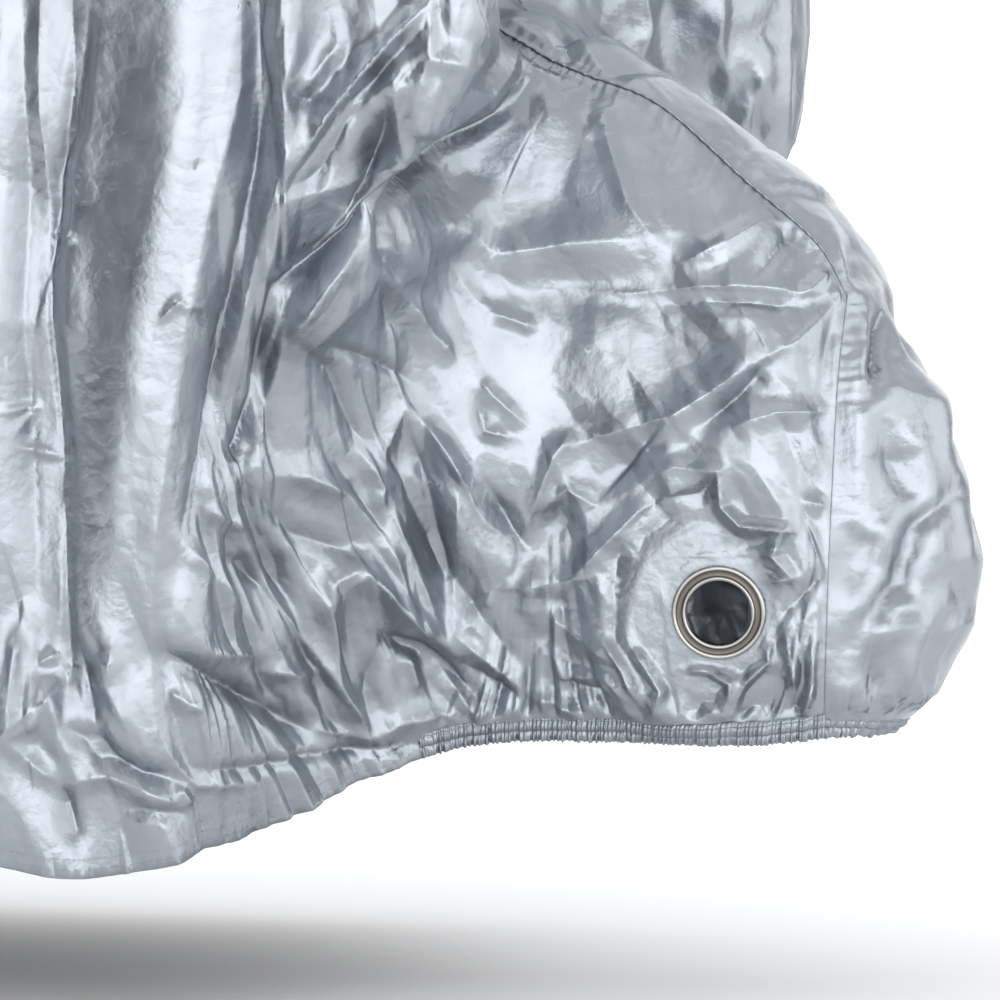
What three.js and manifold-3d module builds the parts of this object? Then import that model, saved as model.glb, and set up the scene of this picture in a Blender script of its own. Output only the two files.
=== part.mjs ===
// Fitted motorcycle cover: silver coated cloth in the shape in which it hangs, hollow and open below.
// Millimetres. +X points to the nose, +Y to the left side, +Z up.
// The tables measure x forward from the middle of the front pouch's hem, out sideways from the middle
// plane and z up from the floor. The finished part is moved so that its origin lies under the hood's top.
import * as THREE from 'three';
import { mergeVertices } from 'three/addons/utils/BufferGeometryUtils.js';
import Module from 'manifold-3d';

const CLOTH = 2;                // wall of the cloth
const HEM_EXTRA = 1.2;          // extra wall where the hem is turned up
const SEW_GAP = 0.3;            // clearance between two pieces that meet
const ORIGIN = { x: -160, z: 1136 };

// The seat of each lock eyelet: its middle, how far it turns to the nose and down, and its flat ring
const SEAT = { x: 184, out: 93, z: 254, turn: 13, nod: 5, flat: 72, fade: 106 };
const PATCH = { side: 86, corner: 20, wall: 1.2 };
const EYELET = { bore: 42, rim: 61, flange: 2.3, back: 1.6, barrel: 2.4, bevel: 1.2, turns: 32 };
const CLOTH_HOLE = 48;          // hole cut in cloth and patch for the eyelet's barrel

// One row for each section from nose to stern. steps is the number of cloth strips to the next row and
// crown the rise of the centre strip above its seams. The five places down the side hold x, out, z.
const SECTIONS = [
  { name: 'nose', steps: 3, crown: 13, seam: [257, 50, 458], brow: [256, 62, 420],
    corner: [255, 69, 380], flank: [253, 74, 300], hem: [246, 64, 172] },
  { name: 'cheek', steps: 5, crown: 12, seam: [236, 50, 492], brow: [234, 76, 455],
    corner: [231, 88, 410], flank: [224, 94, 300], hem: [208, 72, 168] },
  { name: 'eyelet', steps: 6, crown: 15, seam: [188, 50, 532], brow: [186, 80, 498],
    corner: [182, 95, 445], flank: [174, 100, 305], hem: [158, 75, 167] },
  { name: 'pouch', steps: 5, crown: 12, seam: [128, 50, 582], brow: [126, 82, 545],
    corner: [121, 100, 485], flank: [110, 107, 313], hem: [96, 78, 167] },
  { name: 'neck', steps: 5, crown: 22, seam: [74, 50, 603], brow: [72, 84, 570],
    corner: [66, 106, 502], flank: [56, 118, 318], hem: [42, 85, 166] },
  { name: 'recess', steps: 6, crown: 14, seam: [42, 50, 618], brow: [38, 92, 598],
    corner: [26, 132, 550], flank: [2, 150, 358], hem: [-8, 104, 158] },
  { name: 'fan', steps: 6, crown: 8, seam: [-6, 54, 655], brow: [50, 150, 640],
    corner: [44, 236, 590], flank: [-38, 208, 370], hem: [-56, 158, 134] },
  { name: 'apron', steps: 5, crown: 8, seam: [-12, 62, 735], brow: [76, 205, 706],
    corner: [84, 288, 630], flank: [-62, 258, 390], hem: [-90, 218, 114] },
  { name: 'brim', steps: 4, crown: 10, seam: [18, 72, 860], brow: [86, 240, 850],
    corner: [70, 318, 790], flank: [-72, 304, 470], hem: [-112, 270, 102] },
  { name: 'hood front', steps: 4, crown: 10, seam: [36, 80, 960], brow: [66, 250, 950],
    corner: [40, 348, 900], flank: [-118, 322, 470], hem: [-156, 296, 90] },
  { name: 'hood fore', steps: 4, crown: 10, seam: [-4, 86, 1045], brow: [18, 250, 1030],
    corner: [-10, 362, 960], flank: [-165, 326, 470], hem: [-200, 304, 92] },
  { name: 'hood', steps: 4, crown: 9, seam: [-70, 90, 1100], brow: [-58, 240, 1085],
    corner: [-80, 372, 1000], flank: [-225, 326, 480], hem: [-258, 304, 104] },
  { name: 'top', steps: 4, crown: 9, seam: [-160, 94, 1128], brow: [-155, 240, 1110],
    corner: [-170, 366, 1010], flank: [-300, 322, 485], hem: [-332, 302, 113] },
  { name: 'hood rear', steps: 4, crown: 8, seam: [-270, 96, 1105], brow: [-272, 225, 1080],
    corner: [-285, 335, 985], flank: [-385, 308, 480], hem: [-415, 296, 118] },
  { name: 'slope', steps: 4, crown: 8, seam: [-400, 98, 1030], brow: [-405, 200, 1005],
    corner: [-415, 285, 920], flank: [-480, 292, 470], hem: [-503, 288, 120] },
  { name: 'waist', steps: 7, crown: 10, seam: [-560, 98, 948], brow: [-565, 185, 925],
    corner: [-572, 246, 845], flank: [-605, 278, 455], hem: [-622, 282, 121] },
  { name: 'back', steps: 7, crown: 12, seam: [-870, 94, 862], brow: [-870, 170, 840],
    corner: [-871, 222, 772], flank: [-877, 262, 432], hem: [-882, 272, 124] },
  { name: 'back rear', steps: 5, crown: 12, seam: [-1170, 86, 882], brow: [-1168, 160, 860],
    corner: [-1167, 206, 788], flank: [-1162, 242, 436], hem: [-1160, 248, 134] },
  { name: 'tail', steps: 4, crown: 12, seam: [-1400, 76, 900], brow: [-1396, 140, 876],
    corner: [-1392, 184, 800], flank: [-1380, 208, 448], hem: [-1372, 198, 160] },
  { name: 'tail drop', steps: 4, crown: 14, seam: [-1560, 64, 852], brow: [-1555, 118, 826],
    corner: [-1550, 150, 758], flank: [-1536, 166, 450], hem: [-1524, 144, 192] },
  { name: 'tail end', steps: 2, crown: 20, seam: [-1700, 54, 710], brow: [-1696, 84, 684],
    corner: [-1692, 104, 630], flank: [-1684, 112, 420], hem: [-1674, 90, 220] },
  { name: 'stern', steps: 0, crown: 24, seam: [-1760, 50, 560], brow: [-1759, 62, 528],
    corner: [-1757, 69, 486], flank: [-1751, 76, 370], hem: [-1740, 66, 226] },
];
const PLACES = ['seam', 'brow', 'corner', 'flank', 'hem'];
const LAST = SECTIONS.length - 1;

// The left drape hangs further forward than the right one, and its hem rides higher at the front
const LEFT_CHANGES = {
  recess: { hem: [-8, 104, 168] },
  fan: { corner: [76, 236, 545], hem: [-56, 158, 172] },
  apron: { brow: [92, 205, 690], corner: [112, 290, 565], flank: [-42, 262, 390], hem: [-90, 218, 172] },
  brim: { brow: [92, 240, 845], corner: [90, 318, 770], flank: [-62, 304, 470], hem: [-112, 270, 168] },
  'hood front': { hem: [-156, 296, 158] },
  'hood fore': { hem: [-200, 304, 140] },
  hood: { hem: [-258, 304, 128] },
  top: { hem: [-332, 302, 122] },
};

// Rows of cloth down the side, counted in places: 0 is the seam, 4 the hem's edge
const DOWN = [0, 0.3, 0.6, 0.9, 1.25, 1.65, 2.05, 2.4, 2.7, 2.95, 3.17, 3.4, 3.62, 3.82, 3.93, 4];
const STRIP_ROWS = 4;           // cloth strips across the centre strip

// Rise of the centre strip down the nose and down the stern, at heights above the floor
const NOSE_CROWN = [[168, 20], [200, 56], [246, 78], [290, 80], [340, 66], [390, 48], [430, 26], [458, 13]];
const STERN_CROWN = [[222, 22], [300, 44], [400, 46], [500, 32], [560, 24]];

// Main folds of the right side, seen square on: rise along the cloth's face, half width, and the line
const RIGHT_FOLDS = [
  { name: 'left ridge', rise: 10, width: 20,
    line: [[-214, 720], [-216, 560], [-222, 400], [-224, 250], [-226, 120]] },
  { name: 'left valley', rise: -9, width: 12,
    line: [[-158, 720], [-162, 598], [-174, 541], [-184, 478], [-180, 352], [-178, 225], [-186, 150]] },
  { name: 'wide column', rise: 13, width: 32,
    line: [[-82, 720], [-88, 598], [-94, 541], [-108, 478], [-120, 415], [-131, 352], [-141, 289],
      [-146, 190]] },
  { name: 'column groove', rise: -12, width: 12,
    line: [[-38, 720], [-41, 598], [-48, 541], [-62, 478], [-82, 415], [-92, 352], [-105, 289]] },
  { name: 'inner column', rise: 14, width: 12,
    line: [[-18, 720], [-28, 598], [-31, 541], [-50, 478], [-65, 415], [-72, 352], [-78, 300]] },
  { name: 'deep crease', rise: -20, width: 14, line: [[33, 576], [20, 540], [0, 506], [-46, 466]] },
  { name: 'upper fan ridge', rise: 13, width: 14, line: [[60, 608], [8, 576], [-36, 522]] },
  { name: 'lower fan ridge', rise: 15, width: 14, line: [[30, 520], [0, 488], [-28, 452], [-45, 430]] },
  { name: 'apron valley', rise: -22, width: 17, line: [[-53, 449], [-69, 394], [-80, 353]] },
  { name: 'lower groove', rise: -13, width: 14, line: [[-92, 322], [-77, 276], [-52, 205], [-38, 172]] },
  { name: 'lower ridge', rise: 13, width: 14, line: [[-60, 250], [-36, 282], [4, 223]] },
  { name: 'hem tuck', rise: -9, width: 13, line: [[-118, 232], [-70, 182], [-40, 164]] },
  { name: 'hem point', rise: 10, width: 16, line: [[-222, 176], [-190, 205], [-172, 150]] },
  { name: 'pouch ridge', rise: 7, width: 16, line: [[42, 482], [88, 492], [134, 492]] },
  { name: 'pouch crease', rise: -5, width: 13, line: [[76, 461], [166, 462], [240, 458]] },
  { name: 'nose crease', rise: -7, width: 14, line: [[246, 450], [220, 416], [178, 377]] },
  { name: 'cheek crease', rise: -6, width: 14, line: [[159, 384], [107, 328]] },
  { name: 'eyelet brow', rise: 5, width: 13, line: [[115, 325], [151, 347], [187, 345]] },
];
const LEFT_FOLDS = [
  { name: 'front edge', rise: 8, width: 18, line: [[96, 640], [104, 590], [92, 540]] },
  { name: 'front tuck', rise: -12, width: 14, line: [[88, 626], [70, 570], [50, 520]] },
  { name: 'front column', rise: 16, width: 18,
    line: [[20, 760], [0, 600], [-20, 440], [-50, 260], [-70, 130]] },
  { name: 'front hollow', rise: -15, width: 18,
    line: [[-30, 760], [-50, 600], [-70, 440], [-96, 260], [-118, 120]] },
  { name: 'pouch valley', rise: -18, width: 16, line: [[50, 560], [20, 480], [-10, 380], [-16, 300]] },
  { name: 'pouch ridge', rise: 8, width: 16, line: [[60, 470], [130, 440], [210, 400]] },
  { name: 'pouch crease', rise: -6, width: 14, line: [[70, 380], [130, 370], [200, 330]] },
];
// Columns in which the hidden rest of each side hangs, made by the loop below from these sizes
const COLUMNS = { first: -262, last: -1640, pitch: 118, high: 790, low: -60, rise: 15, width: 34, lean: 26 };
// Puckers above the gathered elastic: pitch along the hem, rise, and how high they reach
const PUCKER = { pitch: 41, rise: 3.2, reach: 62 };
const FRONT_ELASTIC = 5.4;      // the front elastic runs from the nose to this section
const REAR_ELASTIC = 18.2;      // the rear one from this section to the stern
// Folds of the centre strip: height on the nose, side offset, rise and half width
const STRIP_FOLDS = [
  { name: 'slit', rise: -9, width: 13, line: [[452, 14], [410, 20], [392, 26]] },
  { name: 'slit lip', rise: 6, width: 12, line: [[448, -14], [400, -10], [350, -20]] },
  { name: 'chin ridge', rise: 6, width: 14, line: [[350, 24], [300, 14], [250, 30]] },
  { name: 'chin tuck', rise: -7, width: 12, line: [[300, -30], [262, -12], [232, -34]] },
];

const wasm = await Module();
wasm.setup();

const clamp01 = (t) => Math.min(1, Math.max(0, t));
const smooth = (low, high, t) => {
  const u = clamp01((t - low) / (high - low));
  return u * u * (3 - 2 * u);
};

// Smooth curve through a list of values or of points, t counted in places
function through(list, t) {
  const i = Math.min(Math.floor(t), list.length - 2);
  const f = t - i;
  const at = (k) => list[Math.min(Math.max(k, 0), list.length - 1)];
  const blend = (p0, p1, p2, p3) => p1 + 0.5 * f * (p2 - p0
    + f * (2 * p0 - 5 * p1 + 4 * p2 - p3 + f * (3 * (p1 - p2) + p3 - p0)));
  const [a, b, c, d] = [at(i - 1), at(i), at(i + 1), at(i + 2)];
  const before = i > 0 ? a : b.map((v, k) => 2 * v - c[k]);
  const after = i < list.length - 2 ? d : c.map((v, k) => 2 * v - b[k]);
  return b.map((v, k) => blend(before[k], v, c[k], after[k]));
}

// Straight-line reading of a table of [place, value] rows
function readTable(table, place) {
  const next = table.findIndex(([p]) => p >= place);
  if (next < 0) return table[table.length - 1][1];
  if (next === 0) return table[0][1];
  const [p0, v0] = table[next - 1];
  const [p1, v1] = table[next];
  return v0 + (v1 - v0) * (place - p0) / (p1 - p0);
}

// Distance from a place to a fold's line, and how far along it the nearest point lies, 0 to 1
function nearLine(line, u, v) {
  let best = { distance: Infinity, along: 0 };
  for (let i = 0; i + 1 < line.length; i += 1) {
    const [u0, v0] = line[i];
    const [du, dv] = [line[i + 1][0] - u0, line[i + 1][1] - v0];
    const t = clamp01(((u - u0) * du + (v - v0) * dv) / (du * du + dv * dv));
    const distance = Math.hypot(u - u0 - t * du, v - v0 - t * dv);
    if (distance < best.distance) best = { distance, along: (i + t) / (line.length - 1) };
  }
  return best;
}

// Height of all folds at a place: each is highest along its middle and dies away at its ends
function foldHeight(folds, u, v) {
  let height = 0;
  for (const { rise, width, line } of folds) {
    const { distance, along } = nearLine(line, u, v);
    const ends = 0.35 + 0.65 * Math.sin(Math.PI * along);
    height += rise * ends * Math.exp(-((distance / width) ** 2));
  }
  return height;
}

// The plain hanging columns behind the photographed part, uneven in height and lean
function columnFolds(turn) {
  const folds = [];
  const count = Math.floor((COLUMNS.first - COLUMNS.last) / COLUMNS.pitch);
  for (let i = 0; i <= count; i += 1) {
    const x = COLUMNS.first - i * COLUMNS.pitch + 0.2 * COLUMNS.pitch * Math.sin(2.3 * i + turn);
    const rise = (i % 2 ? -0.8 : 1) * COLUMNS.rise * (1 + 0.4 * Math.sin(1.7 * i + turn));
    const lean = COLUMNS.lean * Math.sin(0.9 * i + turn);
    const high = COLUMNS.high - 120 * Math.abs(Math.sin(1.1 * i + turn));
    const line = [[x + lean, high], [x, (high + COLUMNS.low) / 2], [x - lean / 2, COLUMNS.low]];
    folds.push({ rise, width: COLUMNS.width, line });
  }
  return folds;
}

const sideRows = (changes) => SECTIONS.map((row) => ({ ...row, ...(changes[row.name] || {}) }));

// Cloth of one side before its folds: a counts sections, b counts places, the answer is x, out, z
function basePoint(rows, a, b) {
  const down = PLACES.map((place) => through(rows.map((row) => row[place]), a));
  return new THREE.Vector3(...through(down, b));
}

const seatNormal = () => new THREE.Vector3(
  Math.sin(THREE.MathUtils.degToRad(SEAT.turn)),
  Math.cos(THREE.MathUtils.degToRad(SEAT.turn)),
  -Math.tan(THREE.MathUtils.degToRad(SEAT.nod)),
).normalize();

// Draws the cloth round the eyelet into the seat's plane
function pressSeat(point, amount) {
  const toPoint = point.clone().sub(new THREE.Vector3(SEAT.x, SEAT.out, SEAT.z));
  const normal = seatNormal();
  const off = toPoint.dot(normal);
  const radius = Math.sqrt(Math.max(0, toPoint.lengthSq() - off * off));
  const hold = amount * (1 - smooth(SEAT.flat, SEAT.fade, radius));
  return point.addScaledVector(normal, -off * hold);
}

// Sections where rows of the grid lie, with the strips of each section spread evenly
function alongPlaces() {
  const places = [];
  SECTIONS.forEach(({ steps }, i) => {
    for (let k = 0; k < steps; k += 1) places.push(i + k / steps);
  });
  return [...places, LAST];
}

// Normal of a grid of points at i, j, pointing away from the hollow
function gridNormal(grid, i, j) {
  const row = (k) => Math.min(Math.max(k, 0), grid.length - 1);
  const col = (k) => Math.min(Math.max(k, 0), grid[0].length - 1);
  const along = grid[row(i + 1)][j].clone().sub(grid[row(i - 1)][j]);
  const down = grid[i][col(j + 1)].clone().sub(grid[i][col(j - 1)]);
  return down.cross(along).normalize();
}

const puckerHeight = (a, x, z, hemZ) => {
  const gathered = 1 - smooth(FRONT_ELASTIC - 0.5, FRONT_ELASTIC, a)
    + smooth(REAR_ELASTIC, REAR_ELASTIC + 0.5, a);
  const reach = 1 - smooth(0, PUCKER.reach, z - hemZ);
  return gathered * reach * PUCKER.rise * Math.sin(2 * Math.PI * x / PUCKER.pitch + Math.sin(x / 37));
};

// Middle surface of one side panel as it hangs, in x, out, z
function sideGrid(changes, folds) {
  const rows = sideRows(changes);
  const along = alongPlaces();
  const base = along.map((a) => DOWN.map((b) => basePoint(rows, a, b)));
  return along.map((a, i) => DOWN.map((b, j) => {
    const free = smooth(0, 0.5, b) * smooth(0, 0.7, a) * (1 - smooth(LAST - 0.7, LAST, a));
    const point = base[i][j].clone();
    const hemZ = base[i][DOWN.length - 1].z;
    const lift = foldHeight(folds, point.x, point.z) + puckerHeight(a, point.x, point.z, hemZ);
    point.addScaledVector(gridNormal(base, i, j), lift * free);
    return pressSeat(point, free > 0 ? 1 : 0);
  }));
}

// The line that the side panel and the centre strip share: up the nose, over the top, down the stern
function seamOf(side) {
  const [nose, stern] = [side[0], side[side.length - 1]];
  const rise = (a) => through(SECTIONS.map((row) => [row.crown]), a)[0];
  const up = [...nose].reverse().map((point) => ({ point, crown: readTable(NOSE_CROWN, point.z) }));
  const over = alongPlaces().map((a, i) => ({ point: side[i][0], crown: rise(a) }));
  const down = stern.map((point) => ({ point, crown: readTable(STERN_CROWN, point.z) }));
  return [...up, ...over.slice(1, -1), ...down];
}

// Middle surface of the centre strip, row by row from the nose's hem to the stern's, from right to left
function stripGrid(seam) {
  const across = Array.from({ length: STRIP_ROWS + 1 }, (_, j) => 2 * j / STRIP_ROWS - 1);
  return seam.map(({ point, crown }, i) => {
    const before = seam[Math.max(i - 1, 0)].point;
    const after = seam[Math.min(i + 1, seam.length - 1)].point;
    const outwards = new THREE.Vector3(after.z - before.z, 0, before.x - after.x).normalize();
    return across.map((v) => {
      const onNose = point.x > 0 && point.z < SECTIONS[0].seam[2] + 1;
      const fold = onNose ? foldHeight(STRIP_FOLDS, point.z, v * point.y) : 0;
      const rise = (crown + fold) * (1 - v * v);
      return new THREE.Vector3(point.x, v * point.y, point.z).addScaledVector(outwards, rise);
    });
  });
}

// Closed solid between two grids of the same size: outer skin, inner skin and the rim that joins them
function solidBetween(outer, inner) {
  const [rows, cols] = [outer.length, outer[0].length];
  const positions = [...outer.flat(), ...inner.flat()].flatMap((p) => [p.x, p.y, p.z]);
  const out = (i, j) => i * cols + j;
  const inn = (i, j) => rows * cols + i * cols + j;
  const faces = [];
  const quad = (a, b, c, d) => faces.push(a, b, c, a, c, d);
  for (let i = 0; i + 1 < rows; i += 1) {
    for (let j = 0; j + 1 < cols; j += 1) {
      quad(out(i, j), out(i, j + 1), out(i + 1, j + 1), out(i + 1, j));
      quad(inn(i, j), inn(i + 1, j), inn(i + 1, j + 1), inn(i, j + 1));
    }
    quad(out(i, 0), out(i + 1, 0), inn(i + 1, 0), inn(i, 0));
    quad(out(i, cols - 1), inn(i, cols - 1), inn(i + 1, cols - 1), out(i + 1, cols - 1));
  }
  for (let j = 0; j + 1 < cols; j += 1) {
    quad(out(0, j), inn(0, j), inn(0, j + 1), out(0, j + 1));
    quad(out(rows - 1, j), out(rows - 1, j + 1), inn(rows - 1, j + 1), inn(rows - 1, j));
  }
  const geometry = new THREE.BufferGeometry();
  geometry.setAttribute('position', new THREE.Float32BufferAttribute(positions, 3));
  geometry.setIndex(faces);
  return geometry;
}

// The same solid with its shared corners merged
function merged(geometry) {
  const plain = geometry.clone();
  plain.deleteAttribute('normal');
  plain.deleteAttribute('uv');
  return mergeVertices(plain, 1e-4);
}

// Turns a solid over to the other side of the middle plane
function mirrored(geometry) {
  const copy = merged(geometry).scale(1, -1, 1);
  const index = copy.getIndex();
  for (let k = 0; k < index.count; k += 3) {
    const held = index.getX(k);
    index.setX(k, index.getX(k + 1));
    index.setX(k + 1, held);
  }
  return copy;
}

// Wall of cloth about a middle surface. Along a sewn edge, the wall is mitred with its neighbour's.
function clothWall(grid, wallAt, mitreAt) {
  const skin = (sign) => grid.map((row, i) => row.map((point, j) => {
    const half = wallAt(i, j) / 2;
    const mitre = mitreAt(i, j);
    if (!mitre) return point.clone().addScaledVector(gridNormal(grid, i, j), sign * half);
    return point.clone().addScaledVector(mitre.normal, sign * half)
      .addScaledVector(mitre.inwards, SEW_GAP * 0.6);
  }));
  return solidBetween(skin(1), skin(-1));
}

// Where panel and strip meet, both walls end on the plane that halves the angle between them
function mitres(side, strip, seam) {
  const found = new Map();
  const half = strip[0].length - 1;
  seam.forEach(({ point }, i) => {
    const before = seam[Math.max(i - 1, 0)].point;
    const after = seam[Math.min(i + 1, seam.length - 1)].point;
    const tangent = after.clone().sub(before).normalize();
    const sideI = side.findIndex((row) => row.includes(point));
    const sideNormal = gridNormal(side, sideI, side[sideI].indexOf(point));
    const stripNormal = gridNormal(strip, i, half);
    const normal = sideNormal.add(stripNormal).normalize();
    normal.addScaledVector(tangent, -normal.dot(tangent)).normalize();
    const toStrip = new THREE.Vector3().crossVectors(normal, tangent).normalize();
    if (toStrip.y > 0) toStrip.negate();
    found.set(point, { normal, toStrip });
  });
  return found;
}

function panelGeometry(side, found) {
  const lastRow = DOWN.length - 1;
  const wallAt = (i, j) => CLOTH + (j >= lastRow - 1 ? HEM_EXTRA : 0);
  const mitreAt = (i, j) => {
    const mitre = found.get(side[i][j]);
    return mitre && { normal: mitre.normal, inwards: mitre.toStrip.clone().negate() };
  };
  return clothWall(side, wallAt, mitreAt);
}

function stripGeometry(strip, seam, found) {
  const lastCol = strip[0].length - 1;
  const flip = new THREE.Vector3(1, -1, 1);
  const wallAt = (i) => CLOTH + (i < 2 || i > strip.length - 3 ? HEM_EXTRA : 0);
  const mitreAt = (i, j) => {
    if (j !== 0 && j !== lastCol) return null;
    const { normal, toStrip } = found.get(seam[i].point);
    const mirror = j === 0 ? flip : new THREE.Vector3(1, 1, 1);
    return { normal: normal.clone().multiply(mirror), inwards: toStrip.clone().multiply(mirror) };
  };
  return clothWall(strip, wallAt, mitreAt);
}

function toManifold(geometry) {
  const plain = merged(geometry);
  return new wasm.Manifold(new wasm.Mesh({
    numProp: 3,
    vertProperties: new Float32Array(plain.getAttribute('position').array),
    triVerts: new Uint32Array(plain.getIndex().array),
  }));
}

function fromManifold(manifold) {
  const mesh = manifold.getMesh();
  const geometry = new THREE.BufferGeometry();
  geometry.setAttribute('position', new THREE.Float32BufferAttribute(mesh.vertProperties, 3));
  geometry.setIndex([...mesh.triVerts]);
  return geometry;
}

// Carries a shape that was drawn about the Y axis to the eyelet's seat on the left side
function toSeat(geometry) {
  const turn = new THREE.Quaternion().setFromUnitVectors(new THREE.Vector3(0, 1, 0), seatNormal());
  return geometry.applyQuaternion(turn).translate(SEAT.x, SEAT.out, SEAT.z);
}

function pierced(geometry) {
  const drill = toSeat(new THREE.CylinderGeometry(CLOTH_HOLE / 2, CLOTH_HOLE / 2, 40, EYELET.turns));
  return fromManifold(toManifold(geometry).subtract(toManifold(drill)));
}

// Square reinforcement with round corners, just behind the cloth
function patchGeometry() {
  const [half, round] = [PATCH.side / 2, PATCH.corner];
  const outline = new THREE.Shape();
  outline.moveTo(half - round, -half);
  outline.absarc(half - round, round - half, round, -Math.PI / 2, 0);
  outline.absarc(half - round, half - round, round, 0, Math.PI / 2);
  outline.absarc(round - half, half - round, round, Math.PI / 2, Math.PI);
  outline.absarc(round - half, round - half, round, Math.PI, 1.5 * Math.PI);
  outline.closePath();
  outline.holes.push(new THREE.Path().absarc(0, 0, CLOTH_HOLE / 2, 0, 2 * Math.PI, true));
  const settings = { depth: PATCH.wall, bevelEnabled: false, curveSegments: 8 };
  const plate = new THREE.ExtrudeGeometry(outline, settings);
  plate.rotateX(Math.PI / 2).translate(0, -CLOTH / 2 - SEW_GAP, 0);
  return toSeat(plate);
}

// Steel eyelet: a rolled front flange, a barrel through cloth and patch, and a flat back flange
function eyeletGeometry() {
  const [bore, rim] = [EYELET.bore / 2, EYELET.rim / 2];
  const front = CLOTH / 2 + SEW_GAP;
  const back = -front - PATCH.wall - SEW_GAP;
  const barrel = bore + EYELET.barrel;
  const outline = [
    [bore, back - EYELET.back], [rim, back - EYELET.back], [rim, back], [barrel, back], [barrel, front],
    [rim, front], [rim, front + EYELET.flange - EYELET.bevel],
    [rim - 2 * EYELET.bevel, front + EYELET.flange],
    [bore + EYELET.bevel, front + EYELET.flange], [bore, front + EYELET.flange - EYELET.bevel],
  ];
  const points = [...outline, outline[0]].map(([r, h]) => new THREE.Vector2(r, h));
  return toSeat(new THREE.LatheGeometry(points, EYELET.turns));
}

const cover = new THREE.Group();
const shade = (color, roughness, metalness) => new THREE.MeshStandardMaterial({ color, roughness, metalness });
const coatedCloth = () => shade(0xa5abbc, 0.38, 0.6);
const backCloth = () => shade(0x8b90a0, 0.55, 0.3);
const steel = () => shade(0xb9bcc4, 0.22, 1);

function place(name, geometry, material) {
  const mesh = new THREE.Mesh(geometry, material);
  mesh.name = name;
  mesh.position.set(-ORIGIN.x, 0, -ORIGIN.z);
  cover.add(mesh);
}

const leftSide = sideGrid(LEFT_CHANGES, [...LEFT_FOLDS, ...columnFolds(2.1)]);
const rightSide = sideGrid({}, [...RIGHT_FOLDS, ...columnFolds(0.4)]);
const seam = seamOf(leftSide);
const strip = stripGrid(seam);
const leftMitres = mitres(leftSide, strip, seam);
const rightMitres = mitres(rightSide, strip, seamOf(rightSide));

place('panel_right', mirrored(pierced(panelGeometry(rightSide, rightMitres))), coatedCloth());
place('panel_left', pierced(panelGeometry(leftSide, leftMitres)), coatedCloth());
place('top_strip', stripGeometry(strip, seam, leftMitres), coatedCloth());
place('patch_right', mirrored(patchGeometry()), backCloth());
place('patch_left', patchGeometry(), backCloth());
place('eyelet_right', mirrored(eyeletGeometry()), steel());
place('eyelet_left', eyeletGeometry(), steel());

export default cover;
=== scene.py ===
"""Fitted motorcycle cover in silver coated cloth, hanging hollow from its hood, with gathered elastic
hems, topstitched seams and steel lock eyelets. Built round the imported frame, in metres."""
import math
from collections import namedtuple

import bpy
import numpy as np
from mathutils import Matrix, Vector
from mathutils.bvhtree import BVHTree
from mathutils.geometry import delaunay_2d_cdt


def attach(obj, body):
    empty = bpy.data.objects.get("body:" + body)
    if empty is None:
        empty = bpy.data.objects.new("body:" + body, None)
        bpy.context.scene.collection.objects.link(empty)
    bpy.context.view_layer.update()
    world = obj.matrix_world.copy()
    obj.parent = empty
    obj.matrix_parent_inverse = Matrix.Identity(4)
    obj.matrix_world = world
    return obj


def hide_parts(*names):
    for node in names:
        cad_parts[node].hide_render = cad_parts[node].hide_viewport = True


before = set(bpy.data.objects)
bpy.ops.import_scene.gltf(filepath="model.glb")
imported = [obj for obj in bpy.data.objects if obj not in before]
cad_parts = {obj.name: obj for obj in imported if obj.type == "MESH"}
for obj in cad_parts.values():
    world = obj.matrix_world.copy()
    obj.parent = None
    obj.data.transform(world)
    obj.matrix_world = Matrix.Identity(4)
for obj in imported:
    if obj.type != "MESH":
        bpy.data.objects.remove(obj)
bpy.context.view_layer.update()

# The tables are in millimetres: x forward from the middle of the front pouch's hem, out sideways from the
# middle plane, z up from the floor. The part's origin lies under the hood's top, at this place in them.
ORIGIN = np.array((-160.0, 0.0, 1136.0))
MM = 0.001

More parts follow.
